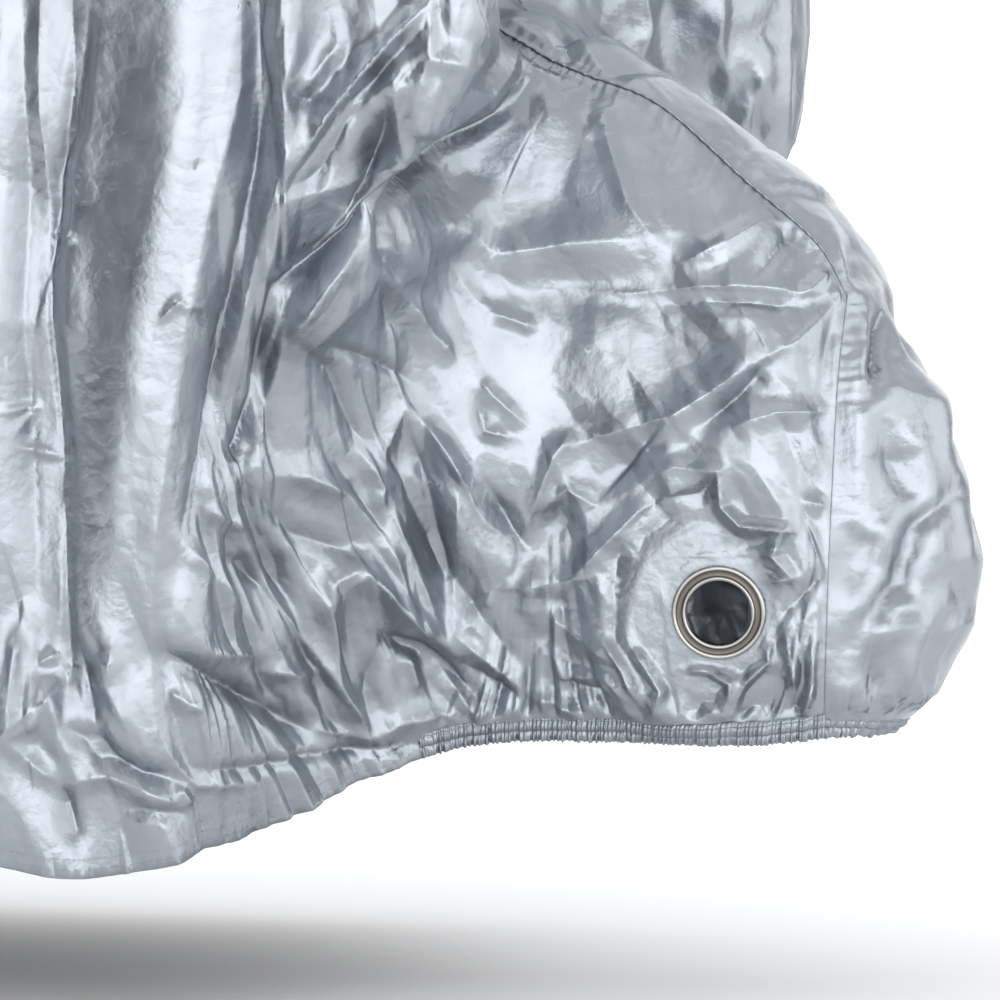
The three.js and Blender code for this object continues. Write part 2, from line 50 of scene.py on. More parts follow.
# Sections from nose to stern: the rise of the centre strip, then x, out, z at five places down the side
SECTIONS = (
    ("nose", 13, (257, 50, 458), (256, 62, 420), (255, 69, 380), (253, 74, 300), (246, 64, 172)),
    ("cheek", 12, (236, 50, 492), (234, 76, 455), (231, 88, 410), (224, 94, 300), (208, 72, 168)),
    ("eyelet", 15, (188, 50, 532), (186, 80, 498), (182, 95, 445), (174, 100, 305), (158, 75, 167)),
    ("pouch", 12, (128, 50, 582), (126, 82, 545), (121, 100, 485), (110, 107, 313), (96, 78, 167)),
    ("neck", 22, (74, 50, 603), (72, 84, 570), (66, 106, 502), (56, 118, 318), (42, 85, 166)),
    ("recess", 14, (42, 50, 618), (38, 92, 598), (26, 132, 550), (2, 150, 358), (-8, 104, 158)),
    ("fan", 8, (-6, 54, 655), (50, 150, 640), (44, 236, 590), (-38, 208, 370), (-56, 158, 134)),
    ("apron", 8, (-12, 62, 735), (76, 205, 706), (84, 288, 630), (-62, 258, 390), (-90, 218, 114)),
    ("brim", 10, (18, 72, 860), (86, 240, 850), (70, 318, 790), (-72, 304, 470), (-112, 270, 102)),
    ("hood front", 10, (36, 80, 960), (66, 250, 950),
     (40, 348, 900), (-118, 322, 470), (-156, 296, 90)),
    ("hood fore", 10, (-4, 86, 1045), (18, 250, 1030),
     (-10, 362, 960), (-165, 326, 470), (-200, 304, 92)),
    ("hood", 9, (-70, 90, 1100), (-58, 240, 1085),
     (-80, 372, 1000), (-225, 326, 480), (-258, 304, 104)),
    ("top", 9, (-160, 94, 1128), (-155, 240, 1110),
     (-170, 366, 1010), (-300, 322, 485), (-332, 302, 113)),
    ("hood rear", 8, (-270, 96, 1105), (-272, 225, 1080),
     (-285, 335, 985), (-385, 308, 480), (-415, 296, 118)),
    ("slope", 8, (-400, 98, 1030), (-405, 200, 1005),
     (-415, 285, 920), (-480, 292, 470), (-503, 288, 120)),
    ("waist", 10, (-560, 98, 948), (-565, 185, 925),
     (-572, 246, 845), (-605, 278, 455), (-622, 282, 121)),
    ("back", 12, (-870, 94, 862), (-870, 170, 840),
     (-871, 222, 772), (-877, 262, 432), (-882, 272, 124)),
    ("back rear", 12, (-1170, 86, 882), (-1168, 160, 860),
     (-1167, 206, 788), (-1162, 242, 436), (-1160, 248, 134)),
    ("tail", 12, (-1400, 76, 900), (-1396, 140, 876),
     (-1392, 184, 800), (-1380, 208, 448), (-1372, 198, 160)),
    ("tail drop", 14, (-1560, 64, 852), (-1555, 118, 826),
     (-1550, 150, 758), (-1536, 166, 450), (-1524, 144, 192)),
    ("tail end", 20, (-1700, 54, 710), (-1696, 84, 684),
     (-1692, 104, 630), (-1684, 112, 420), (-1674, 90, 220)),
    ("stern", 24, (-1760, 50, 560), (-1759, 62, 528),
     (-1757, 69, 486), (-1751, 76, 370), (-1740, 66, 226)),
)
LAST = len(SECTIONS) - 1
BRIM = [name for name, *_ in SECTIONS].index("brim")
SEAM, BROW, CORNER, FLANK, HEM = range(5)

# The left drape hangs further forward than the right one, and its hem rides higher at the front
LEFT_CHANGES = {
    "recess": {HEM: (-8, 104, 168)},
    "fan": {CORNER: (76, 236, 545), HEM: (-56, 158, 172)},
    "apron": {BROW: (92, 205, 690), CORNER: (112, 290, 565), FLANK: (-42, 262, 390),
              HEM: (-90, 218, 172)},
    "brim": {BROW: (92, 240, 845), CORNER: (90, 318, 770), FLANK: (-62, 304, 470),
             HEM: (-112, 270, 168)},
    "hood front": {HEM: (-156, 296, 158)},
    "hood fore": {HEM: (-200, 304, 140)},
    "hood": {HEM: (-258, 304, 128)},
    "top": {HEM: (-332, 302, 122)},
}
NOSE_CROWN = ((168, 20), (200, 56), (246, 78), (290, 80), (340, 66), (390, 48), (430, 26), (458, 13))
STERN_CROWN = ((222, 22), (300, 44), (400, 46), (500, 32), (560, 24))

# Main folds: rise in mm, half width, how crisp the crease is, and its line, x and z, seen square on
RIGHT_FOLDS = (
    ("left ridge", 10, 20, 0.1, ((-214, 720), (-216, 560), (-222, 400), (-224, 250), (-226, 120))),
    ("left valley", -9, 10, 0.5,
     ((-158, 720), (-162, 598), (-174, 541), (-184, 478), (-180, 352), (-178, 225), (-186, 150))),
    ("wide column", 13, 32, 0,
     ((-82, 720), (-88, 598), (-94, 541), (-108, 478), (-120, 415), (-131, 352), (-141, 289), (-146, 190))),
    ("column groove", -12, 12, 0.5,
     ((-38, 720), (-41, 598), (-48, 541), (-62, 478), (-82, 415), (-92, 352), (-105, 289))),
    ("inner column", 14, 12, 0.3,
     ((-18, 720), (-28, 598), (-31, 541), (-50, 478), (-65, 415), (-72, 352), (-78, 300))),
    ("deep crease", -20, 14, 0.5, ((33, 576), (20, 540), (0, 506), (-46, 466))),
    ("upper fan ridge", 13, 14, 0.3, ((60, 608), (8, 576), (-36, 522))),
    ("lower fan ridge", 15, 14, 0.3, ((30, 520), (0, 488), (-28, 452), (-45, 430))),
    ("apron valley", -22, 17, 0.4, ((-53, 449), (-69, 394), (-80, 353))),
    ("lower groove", -13, 14, 0.6, ((-92, 322), (-77, 276), (-52, 205), (-38, 172))),
    ("lower ridge", 13, 14, 0.4, ((-60, 250), (-36, 282), (4, 223))),
    ("hem tuck", -9, 13, 0.5, ((-118, 232), (-70, 182), (-40, 164))),
    ("hem point", 10, 16, 0.4, ((-222, 176), (-190, 205), (-172, 150))),
    ("pouch ridge", 7, 16, 0.2, ((42, 482), (88, 492), (134, 492))),
    ("pouch crease", -5, 13, 0.5, ((76, 461), (166, 462), (240, 458))),
    ("nose crease", -7, 14, 0.4, ((246, 450), (220, 416), (178, 377))),
    ("cheek crease", -6, 14, 0.4, ((159, 384), (107, 328))),
    ("eyelet brow", 5, 13, 0.3, ((115, 325), (151, 347), (187, 345))),
)
LEFT_FOLDS = (
    ("front edge", 8, 18, 0.1, ((96, 640), (104, 590), (92, 540))),
    ("front tuck", -12, 14, 0.3, ((88, 626), (70, 570), (50, 520))),
    ("front column", 16, 18, 0.1, ((20, 760), (0, 600), (-20, 440), (-50, 260), (-70, 130))),
    ("front hollow", -15, 18, 0.1, ((-30, 760), (-50, 600), (-70, 440), (-96, 260), (-118, 120))),
    ("pouch valley", -18, 16, 0.3, ((50, 560), (20, 480), (-10, 380), (-16, 300))),
    ("pouch ridge", 8, 16, 0.3, ((60, 470), (130, 440), (210, 400))),
    ("pouch crease", -6, 14, 0.5, ((70, 380), (130, 370), (200, 330))),
)
# Folds of the centre strip: height on the nose against the offset from the middle
STRIP_FOLDS = (
    ("slit", -9, 13, 0.2, ((452, 14), (410, 20), (392, 26))),
    ("slit lip", 6, 12, 0.2, ((448, -14), (400, -10), (350, -20))),
    ("chin ridge", 6, 14, 0.3, ((350, 24), (300, 14), (250, 30))),
    ("chin tuck", -7, 12, 0.3, ((300, -30), (262, -12), (232, -34))),
)

# Creases of the film, placed on the 1000 px photograph: rise, reach to the left or below, reach to
# the right or above, and the line in px, drawn downwards or to the right. CREASE_RISE and CREASE_REACH scale
# them to mm and px.
NEAR_CREASES = (
    # hanging columns
    (5, 10, 6, ((40, -20), (40, 108), (47, 184), (50, 230), (53, 340), (59, 420), (65, 492), (61, 620),
                (57, 656))),
    (-3, 12, 16, ((20, -20), (24, 150), (22, 330), (30, 480), (36, 600))),
    (-3, 10, 8, ((92, -20), (84, 60), (76, 130), (56, 184))),
    (2, 5, 5, ((53, 231), (75, 241))),
    (2, 6, 6, ((0, 412), (31, 408), (11, 439))),
    (2, 6, 6, ((15, 448), (63, 456))),
    (4, 16, 9, ((241, -20), (241, 87), (225, 152), (208, 217), (195, 293), (187, 320), (182, 366), (168, 454),
                (157, 530), (151, 618), (153, 695), (157, 729))),
    (4, 6, 7, ((157, 729), (176, 767), (199, 787), (249, 783))),
    (-4, 6, 5, ((286, -20), (284, 17), (269, 93), (254, 173), (238, 245), (223, 340), (209, 397), (191, 479),
                (180, 536), (170, 620))),
    (4, 6, 9, ((305, -20), (293, 54), (284, 87), (284, 163), (260, 234), (239, 320), (220, 402), (203, 507))),
    (2, 6, 5, ((173, 299), (186, 306), (204, 307))),
    (-2, 5, 5, ((189, 306), (212, 324))),
    (2, 6, 5, ((186, 293), (160, 321))),
    # fan below the hood
    (-4, 10, 10, ((282, 86), (301, 100), (319, 102))),
    (4, 10, 10, ((340, 41), (304, 89))),
    (-8, 16, 14, ((402, 48), (354, 104), (307, 173), (282, 202))),
    (6, 12, 9, ((432, 0), (392, 39), (332, 108), (289, 180))),
    (5, 12, 12, ((426, 137), (398, 160), (343, 184), (284, 205))),
    (-3, 7, 7, ((430, 52), (395, 87))),
    (3, 8, 8, ((396, 87), (399, 156))),
    (4, 10, 14, ((432, 13), (430, 57), (465, 58))),
    (8, 20, 10, ((471, -20), (476, 43), (467, 61), (428, 126), (429, 139))),
    (5, 8, 10, ((521, 41), (489, 95), (430, 139))),
    (-10, 9, 9, ((523, 74), (495, 113), (439, 147), (402, 180), (354, 230), (311, 262), (277, 284))),
    (4, 6, 6, ((491, 110), (428, 136))),
    (7, 12, 14, ((354, 242), (322, 286), (289, 337))),
    (-8, 12, 10, ((271, 287), (260, 364), (240, 446), (237, 464))),
    (5, 7, 10, ((283, 344), (268, 395), (248, 466))),
    # left of the pouch
    (5, 9, 12, ((401, 184), (406, 212), (417, 252), (415, 274), (399, 287))),
    (-5, 9, 9, ((380, 212), (383, 252), (402, 282))),
    (5, 10, 12, ((381, 274), (350, 309), (313, 344), (307, 353))),
    (-4, 9, 9, ((381, 278), (399, 336))),
    (5, 12, 12, ((399, 291), (430, 335), (456, 360))),
    (-5, 12, 12, ((308, 353), (334, 374), (354, 421), (379, 464))),
    (-4, 7, 7, ((313, 344), (362, 356), (403, 374), (413, 382))),
    (4, 10, 12, ((407, 401), (383, 462))),
    (5, 12, 12, ((409, 403), (444, 456), (460, 480))),
    (3, 8, 8, ((479, 380), (491, 395), (526, 425))),
    (-3, 8, 8, ((475, 397), (485, 431), (511, 438))),
    (3, 8, 8, ((491, 313), (538, 329))),
    # upper pouch
    (4, 24, 30, ((437, 215), (495, 254), (640, 238))),
    (2, 9, 9, ((602, 115), (608, 143), (627, 202), (658, 244))),
    (3, 10, 10, ((686, 261), (728, 244), (768, 219))),
    (-3, 9, 9, ((784, 219), (787, 236), (756, 278))),
    (4, 9, 14, ((560, 289), (630, 293), (700, 288), (756, 289), (798, 292), (841, 293))),
    (-3, 9, 7, ((703, 302), (795, 305))),
    (3, 8, 8, ((833, 269), (801, 297))),
    (6, 22, 20, ((846, 292), (795, 342), (703, 399), (678, 415), (560, 448))),
    (-4, 10, 10, ((770, 358), (744, 393), (703, 427))),
    (4, 12, 12, ((733, 428), (774, 413), (836, 411))),
    (-4, 8, 8, ((834, 307), (831, 411))),
    (5, 14, 14, ((678, 415), (597, 505), (560, 522))),
    # middle, below the fan
    (-4, 8, 8, ((257, 435), (242, 471))),
    (-5, 10, 12, ((247, 479), (295, 535), (343, 550), (362, 563))),
    (-8, 12, 12, ((242, 475), (262, 535), (291, 602))),
    (6, 16, 16, ((270, 477), (304, 475), (343, 491), (381, 535), (413, 611), (448, 650))),
    (4, 9, 9, ((202, 509), (243, 529))),
    (-4, 9, 9, ((228, 554), (257, 586))),
    (5, 12, 12, ((182, 538), (245, 619))),
    (6, 12, 14, ((262, 586), (318, 667), (339, 697), (371, 736))),
    (5, 12, 12, ((360, 565), (331, 585), (333, 688))),
    (6, 12, 12, ((360, 565), (400, 611), (444, 655))),
    (-4, 10, 10, ((337, 464), (369, 512), (387, 542))),
    (3, 9, 9, ((362, 451), (381, 487), (371, 512))),
    (-5, 12, 12, ((410, 424), (427, 477), (446, 554), (446, 646))),
    (5, 10, 12, ((457, 477), (455, 535), (455, 634))),
    (4, 10, 10, ((455, 634), (526, 691))),
    (-6, 12, 10, ((381, 636), (429, 648), (480, 703))),
    (-4, 10, 10, ((382, 640), (367, 693), (371, 736))),
    (3, 9, 9, ((410, 650), (419, 695))),
    (3, 8, 8, ((209, 653), (257, 655))),
    (-4, 10, 10, ((251, 661), (285, 703))),
    (3, 8, 8, ((266, 672), (295, 674), (318, 669))),
    (-6, 12, 12, ((168, 653), (210, 676), (300, 725))),
    (4, 8, 8, ((302, 728), (371, 738))),
    (5, 10, 12, ((371, 736), (400, 722), (457, 713))),
    (-4, 7, 7, ((199, 769), (230, 769), (300, 758), (351, 751), (431, 742))),
    (4, 9, 9, ((168, 691), (199, 712))),
    # middle of the pouch
    (4, 12, 12, ((420, 422), (457, 473), (487, 526))),
    (-4, 10, 10, ((491, 491), (526, 553))),
    (5, 12, 14, ((575, 430), (555, 457), (520, 540))),
    (-5, 12, 14, ((542, 530), (596, 506), (665, 420))),
    (3, 9, 9, ((542, 510), (567, 489), (596, 506))),
    (4, 10, 10, ((534, 563), (530, 627))),
    (5, 12, 12, ((559, 593), (596, 553), (638, 512), (722, 469))),
    (4, 12, 10, ((547, 614), (612, 665))),
    (-5, 10, 10, ((618, 534), (616, 583), (612, 665))),
    # round the eyelet and its patch
    (7, 9, 7, ((672, 466), (721, 471), (724, 507), (742, 525), (781, 529), (773, 555), (789, 576),
               (761, 583))),
    (-4, 9, 9, ((721, 475), (699, 493), (658, 499), (627, 530))),
    (-3, 4, 4, ((657, 572), (658, 640), (669, 690), (676, 712))),
    (-3, 3, 4, ((641, 547), (690, 546), (749, 549))),
    (-2, 3, 3, ((641, 562), (685, 562))),
    (2, 3, 4, ((683, 556), (722, 557))),
    (6, 8, 6, ((634, 647), (644, 661), (662, 690), (657, 707))),
    (6, 6, 8, ((687, 670), (708, 669), (733, 681), (732, 704))),
    (6, 8, 6, ((738, 700), (747, 681), (769, 661), (768, 649), (756, 643))),
    (6, 7, 7, ((784, 622), (790, 665), (795, 690))),
    (6, 6, 8, ((809, 647), (813, 684), (806, 708))),
    (6, 8, 7, ((598, 636), (622, 668), (640, 706))),
    (6, 9, 7, ((820, 656), (850, 672), (862, 706))),
    (-3, 6, 6, ((700, 690), (720, 706))),
    (5, 10, 12, ((860, 415), (860, 495), (884, 528), (886, 540), (880, 579), (873, 591), (843, 622),
                 (818, 638), (798, 664))),
    (4, 10, 10, ((800, 500), (837, 509), (880, 538))),
    (-4, 10, 10, ((835, 538), (831, 567), (782, 616))),
    (4, 10, 10, ((843, 538), (857, 562), (843, 613))),
    # above the gathered hem
    (4, 9, 9, ((555, 677), (604, 677), (634, 706))),
    (-4, 8, 8, ((555, 677), (600, 691), (620, 707))),
    (4, 8, 8, ((529, 694), (586, 713))),
    (4, 9, 9, ((443, 671), (469, 707), (480, 722))),
    (-4, 8, 8, ((447, 656), (524, 699))),
    (4, 9, 9, ((700, 667), (732, 683), (726, 710))),
    # lowest corner on the left
    (7, 12, 14, ((19, 618), (11, 739))),
    (5, 10, 10, ((10, 739), (38, 723), (50, 693), (59, 723), (61, 785))),
    (4, 10, 10, ((10, 739), (61, 785))),
    (-4, 10, 10, ((61, 785), (71, 819), (77, 844))),
    (-5, 12, 12, ((78, 645), (96, 733))),
    (5, 12, 12, ((113, 637), (107, 687), (134, 746))),
    (-6, 12, 12, ((65, 729), (105, 752), (142, 773), (172, 779))),
    (5, 10, 12, ((61, 785), (107, 777), (142, 787), (191, 813))),
    (-4, 8, 8, ((122, 808), (189, 813))),
    (3, 8, 8, ((178, 785), (193, 806))),
    (3, 8, 8, ((36, 664), (57, 653))),
)
NOSE_CREASES = (
    (-8, 7, 7, ((888, 305), (880, 345), (871, 390))),
    (5, 12, 8, ((868, 300), (862, 350), (858, 400))),
    (-4, 16, 16, ((852, 236), (858, 290))),
    (5, 12, 12, ((860, 415), (860, 495), (884, 528), (886, 540), (880, 579), (873, 591), (843, 622))),
    (-6, 12, 12, ((953, 495), (916, 526), (900, 583), (843, 650))),
    (4, 9, 9, ((837, 509), (880, 538))),
    (4, 10, 10, ((896, 587), (880, 646))),
    (4, 10, 10, ((898, 599), (920, 618))),
    (4, 10, 12, ((905, 420), (930, 480), (940, 560))),
    (-4, 10, 10, ((880, 420), (905, 500))),
    (4, 10, 10, ((940, 600), (915, 660), (905, 700))),
    (-4, 10, 10, ((870, 640), (880, 700))),
)
FAR_CREASES = (
    (6, 8, 12, ((644, -20), (636, 59))),
    (-8, 26, 24, ((672, -20), (676, 60), (690, 107))),
    (-5, 10, 10, ((734, 42), (768, 31), (790, 51))),
    (5, 12, 12, ((768, 62), (740, 132))),
    (4, 10, 6, ((788, -20), (790, 150))),
    (4, 10, 10, ((720, -20), (716, 40), (730, 100))),
    (-4, 10, 10, ((752, 70), (762, 150))),
)

# Calm and busy places of the film on the photograph: middle and half size in px, and the crumple's share
CALM = (
    (152, 150, 62, 420, 0.22),
    (120, 480, 52, 180, 0.45),
    (600, 190, 150, 80, 0.45),
    (485, 386, 80, 66, 0.45),
    (720, 613, 78, 78, 0.35),
    (730, 60, 90, 110, 0.5),
    (335, 400, 60, 230, 0.4),
)
BUSY = (
    (80, 740, 120, 110, 1.5),
    (300, 670, 150, 70, 1.2),
    (640, 600, 160, 90, 1.25),
)

# Viewing angle of the photograph, about the point that lies in the middle of its frame
PHOTO_AZIMUTH = math.radians(20)
PHOTO_ELEVATION = math.radians(2.5)
PHOTO_DISTANCE = 4500
PHOTO_SPAN = 666.7              # millimetres across the picture at the aim point
PHOTO_PX = 1000
AIM = np.array((0.0, 0.0, 320.0))
ACROSS = np.array((math.cos(PHOTO_AZIMUTH), math.sin(PHOTO_AZIMUTH), 0))
BACK = np.array((math.sin(PHOTO_AZIMUTH) * math.cos(PHOTO_ELEVATION),
                 -math.cos(PHOTO_AZIMUTH) * math.cos(PHOTO_ELEVATION), math.sin(PHOTO_ELEVATION)))
UPWARDS = np.cross(BACK, ACROSS)


def on_photo(points):
    """Where points of the tables' frame lie on the photograph, in px."""
    from_eye = points - (AIM + BACK * PHOTO_DISTANCE)
    scale = PHOTO_PX * PHOTO_DISTANCE / PHOTO_SPAN / -(from_eye @ BACK)
    return PHOTO_PX / 2 + scale * (from_eye @ ACROSS), PHOTO_PX / 2 - scale * (from_eye @ UPWARDS)


# Curves and distances
def smooth(low, high, t):
    """0 up to low, 1 from high on, and an even passage between them."""
    u = np.clip((t - low) / (high - low), 0, 1)
    return u * u * (3 - 2 * u)


def curve(p0, p1, p2, p3, f):
    """Point of the smooth curve between p1 and p2."""
    return p1 + 0.5 * f * (p2 - p0 + f * (2 * p0 - 5 * p1 + 4 * p2 - p3 + f * (3 * (p1 - p2) + p3 - p0)))


def through(table, t):
    """Smooth curve through the rows of a table, t counted in rows."""
    last = len(table) - 1
    t = np.asarray(t, float)
    i = np.clip(t.astype(int), 0, last - 1)
    f = (t - i).reshape(t.shape + (1,) * (table.ndim - 1))
    p1, p2 = table[i], table[i + 1]
    p0 = np.where((i > 0).reshape(f.shape), table[np.maximum(i - 1, 0)], 2 * p1 - p2)
    p3 = np.where((i < last - 1).reshape(f.shape), table[np.minimum(i + 2, last)], 2 * p2 - p1)
    return curve(p0, p1, p2, p3, f)


def unit(v):
    return v / np.maximum(np.linalg.norm(v, axis=-1, keepdims=True), 1e-9)


def lengths_along(points, axis):
    """Distance from the first point to each one, along the rows or the columns of a grid."""
    steps = np.linalg.norm(np.diff(points, axis=axis), axis=-1)
    start = np.zeros_like(steps.take([0], axis=axis))
    return np.concatenate([start, np.cumsum(steps, axis=axis)], axis=axis)


def at_places(places, gone, rows):
    """Rows of three values at new places, where gone says how far along each old row lies."""
    return np.stack([np.interp(places, gone, rows[:, k]) for k in range(3)], -1)


def near_line(line, u, v):
    """Distance from each place to a line, how far along it, and the side: 1 left of a downward line."""
    best = np.full(u.shape, 1e9)
    along = np.zeros(u.shape)
    side = np.ones(u.shape)
    for k in range(len(line) - 1):
        (u0, v0), (u1, v1) = line[k], line[k + 1]
        du, dv = u1 - u0, v1 - v0
        t = np.clip(((u - u0) * du + (v - v0) * dv) / (du * du + dv * dv), 0, 1)
        distance = np.hypot(u - u0 - t * du, v - v0 - t * dv)
        nearer = distance < best
        best = np.where(nearer, distance, best)
        along = np.where(nearer, (k + t) / (len(line) - 1), along)
        side = np.where(nearer, np.sign(du * (v - v0) - dv * (u - u0)), side)
    return best, along, side


def fold_height(folds, u, v):
    """Main folds, each highest along its middle."""
    height = np.zeros(u.shape)
    for _, rise, width, crisp, line in folds:
        distance, along, _ = near_line(line, u, v)
        ends = 0.35 + 0.65 * np.sin(np.pi * along)
        across = (1 - crisp) * np.exp(-((distance / width) ** 2)) + crisp * np.exp(-1.5 * distance / width)
        height += rise * ends * across
    return height


CREASE_RISE = 1.7
CREASE_REACH = 1.8
MAIN_RISE = 6                   # creases of this rise or more are main ones
LIGHT_STEEPEST = 0.3            # most rise of a light crease, in mm for each px of its narrower flank
MAIN_STEEPEST = 0.7             # the same for a main crease
FLANK_CURVE = 1.6               # above 1, flanks hollow towards a sharp crest


def crease_height(creases, px, py):
    """Creases of the film: flanks that meet in a line and die away at its ends."""
    height = np.zeros(px.shape)
    for rise, left, right, line in creases:
        left, right = CREASE_REACH * left, CREASE_REACH * right
        most = (MAIN_STEEPEST if abs(rise) >= MAIN_RISE else LIGHT_STEEPEST) * min(left, right)
        xs, ys = zip(*line)
        reach = max(left, right)
        near = ((px > min(xs) - reach) & (px < max(xs) + reach)
                & (py > min(ys) - reach) & (py < max(ys) + reach))
        distance, along, side = near_line(line, px[near], py[near])
        flank = 1 - np.clip(distance / np.where(side > 0, left, right), 0, 1)
        ends = 0.25 + 0.75 * np.clip(4 * np.minimum(along, 1 - along), 0, 1)
        height[near] += min(max(CREASE_RISE * rise, -most), most) * ends * flank ** FLANK_CURVE
    return height


def share_of(places, px, py):
    """The crumple's share at each place of the photograph."""
    share = np.ones(px.shape)
    for x, y, half_x, half_y, factor in places:
        inside = np.exp(-(((px - x) / half_x) ** 2 + ((py - y) / half_y) ** 2) ** 1.5)
        share *= 1 + (factor - 1) * inside
    return share


def column_folds(turn):
    """The plain hanging columns behind the photographed part, uneven in height and lean."""
    first, last, pitch = -262, -1640, 118
    high, low, drop = 790, -60, 120
    rise, width, lean = 15, 34, 26
    folds = []
    for i in range(int((first - last) / pitch) + 1):
        x = first - i * pitch + 0.2 * pitch * math.sin(2.3 * i + turn)
        up = (-0.8 if i % 2 else 1) * rise * (1 + 0.4 * math.sin(1.7 * i + turn))
        slant = lean * math.sin(0.9 * i + turn)
        head = high - drop * abs(math.sin(1.1 * i + turn))
        line = ((x + slant, head), (x, (head + low) / 2), (x - slant / 2, low))
        folds.append(("column", up, width, 0, line))
    return tuple(folds)


# Crumple of the coated film: pitch of the facets in mm, and how steep they are. The first three are large,
# middle and small ones, the last two belong to cloth that hangs in columns.
FACETS = ((58, 0.11), (30, 0.14), (13, 0.05), (34, 0.08), (14, 0.035))
DOWN_RAY = Vector((0, 0, -1))
RAY_START = 200


class Crumple:
    """Flat facets that meet in straight creases: a net over scattered points at uneven heights."""

    def __init__(self, pitch, slope, seed, span=(3300, 1500)):
        random = np.random.default_rng(seed)
        cols, rows = (int(size / pitch) + 4 for size in span)
        grid = np.stack(np.meshgrid(np.arange(cols), np.arange(rows)), -1).reshape(-1, 2) - 1.5
        grid = (grid + random.uniform(-0.6, 0.6, grid.shape)) * pitch
        heights = random.uniform(-1, 1, len(grid)) * slope * pitch
        flat, _, faces, made_from, _, _ = delaunay_2d_cdt([Vector(p) for p in grid], [], [], 0, 1e-6)
        corners = [(p[0], p[1], heights[made_from[i][0]]) for i, p in enumerate(flat)]
        self.net = BVHTree.FromPolygons(corners, faces)

    def height(self, s, t):
        """Height of the net over places in the flat cut."""
        hits = (self.net.ray_cast(Vector((u, v, RAY_START)), DOWN_RAY)[0] for u, v in zip(s.flat, t.flat))
        return np.array([hit[2] if hit else 0.0 for hit in hits]).reshape(s.shape)


def pleats(place, pitch, seed, reach=4200):
    """Uneven zigzag from -1 to 1 along a gathered edge."""
    random = np.random.default_rng(seed)
    count = int(reach / pitch * 2) + 8
    turns = np.cumsum(random.uniform(0.5, 1.5, count)) * pitch / 2 - pitch
    heights = np.where(np.arange(count) % 2, -1, 1) * random.uniform(0.35, 1, count)
    return np.interp(place, turns, heights)


# Seat of the lock eyelet, which holds the cloth round it flat
SEAT = np.array((184.0, 93.0, 254.0))
SEAT_TURN = math.radians(13)
SEAT_NOD = math.radians(5)
SEAT_FLAT = 72                  # radius up to which the cloth is held flat
SEAT_FADE = 106                 # and from which it hangs free
SEAT_OUT = unit(np.array((math.sin(SEAT_TURN), math.cos(SEAT_TURN), -math.tan(SEAT_NOD))))
SEAT_ACROSS = unit(np.cross(SEAT_OUT, (0, 0, 1)))
SEAT_UP = np.cross(SEAT_ACROSS, SEAT_OUT)
CLOTH_HOLE = 24.0               # radius of the hole through cloth and patch
PATCH_HALF = 43                 # half the patch's width
PATCH_STEP = 1.1                # how far the cloth steps in past the patch's edge
STITCH_DIP = (0.6, 8, 1.8)      # depth of the patch's stitch line, its way in from the edge, and half width


def press_seat(points):
    """Draws the cloth round the eyelet into the seat's plane."""
    off = (points - SEAT) @ SEAT_OUT
    radius = np.sqrt(np.maximum(((points - SEAT) ** 2).sum(-1) - off ** 2, 0))
    hold = 1 - smooth(SEAT_FLAT, SEAT_FADE, radius)
    return points - SEAT_OUT * (off * hold)[..., None], radius


def patch_relief(points):
    """Edge and stitch line of the patch, as they show through the cloth, mostly at its top and rear."""
    across = (points - SEAT) @ SEAT_ACROSS
    up = (points - SEAT) @ SEAT_UP
    rim = np.maximum(np.abs(across), np.abs(up)) - PATCH_HALF
    shown = 0.25 + 0.75 * np.maximum(smooth(22, 40, -across), smooth(22, 40, up))
    step = -PATCH_STEP * smooth(-2, 1, rim) * (1 - smooth(3, 13, rim))
    depth, inside, width = STITCH_DIP
    return shown * (rim < PATCH_HALF) * (step - depth * np.exp(-((rim + inside) / width) ** 2))


# Gathers and puckers
FRONT_ELASTIC = 5.15            # the front elastic runs from the nose to this section
REAR_ELASTIC = 18.2             # the rear one from this section to the stern
BAND_HEIGHT = 15.5
BAND_LINE = 0.5                 # depth of the stitch line over the band
BAND_TUCK = 2.2                 # how far the cloth goes in behind the band
CALM_ABOVE = (6, 26)            # heights above a gathered hem between which the film's facets come in
NOSE_GATHER = (60, 90)          # distances up the strip between which its gathers end, at the nose
STERN_GATHER = (60, 30)         # and at the stern
# Section of the gathered casing: height above the hem's edge, how far out, and how strongly it is pleated
BAND_SECTION = (
    (17.4, -1.6, 0.4), (16.2, -0.2, 0.8), (15.0, 0.8, 1.1), (14.2, 0.9, 1.0), (13.7, 0.5, 0.7),
    (13.1, 0.9, 1.0), (11.8, 1.7, 1.3), (10.2, 2.0, 1.4), (8.6, 1.7, 1.3), (7.4, 1.0, 1.0),
    (6.9, 0.5, 0.7), (6.3, 0.9, 1.0), (4.8, 1.5, 1.4), (2.8, 1.5, 1.7), (0.9, 1.1, 1.9),
    (-0.1, 0.3, 1.9), (0.1, -0.8, 1.6), (1.2, -1.7, 1.1), (4.0, -2.2, 0.7), (8.0, -2.5, 0.5),
    (12.0, -2.7, 0.4), (16.5, -2.8, 0.3),
)
# Puckers above the band: rise, height at which a third of it is left, and pitch, from wide to fine
PUCKERS = ((6.5, 44, 24), (3.8, 26, 11), (1.7, 11, 4.8))
PUCKER_LEAN = 0.45              # how far they lean, for each mm of height
PUCKER_SWAY = 31                # and over what length along the hem the lean turns over
# Long waves of the plain hem: rise, height at which a third of it is left, and pitch
HEM_WAVE = (2.4, 55, 70)
# Small puckers along the centre strip's seams: rise, pitch, and reach from the seam
SEAM_PUCKER = (0.9, 8, 9)
SEAM_FLAT = 1.6                 # the seam's own stitches hold this width down
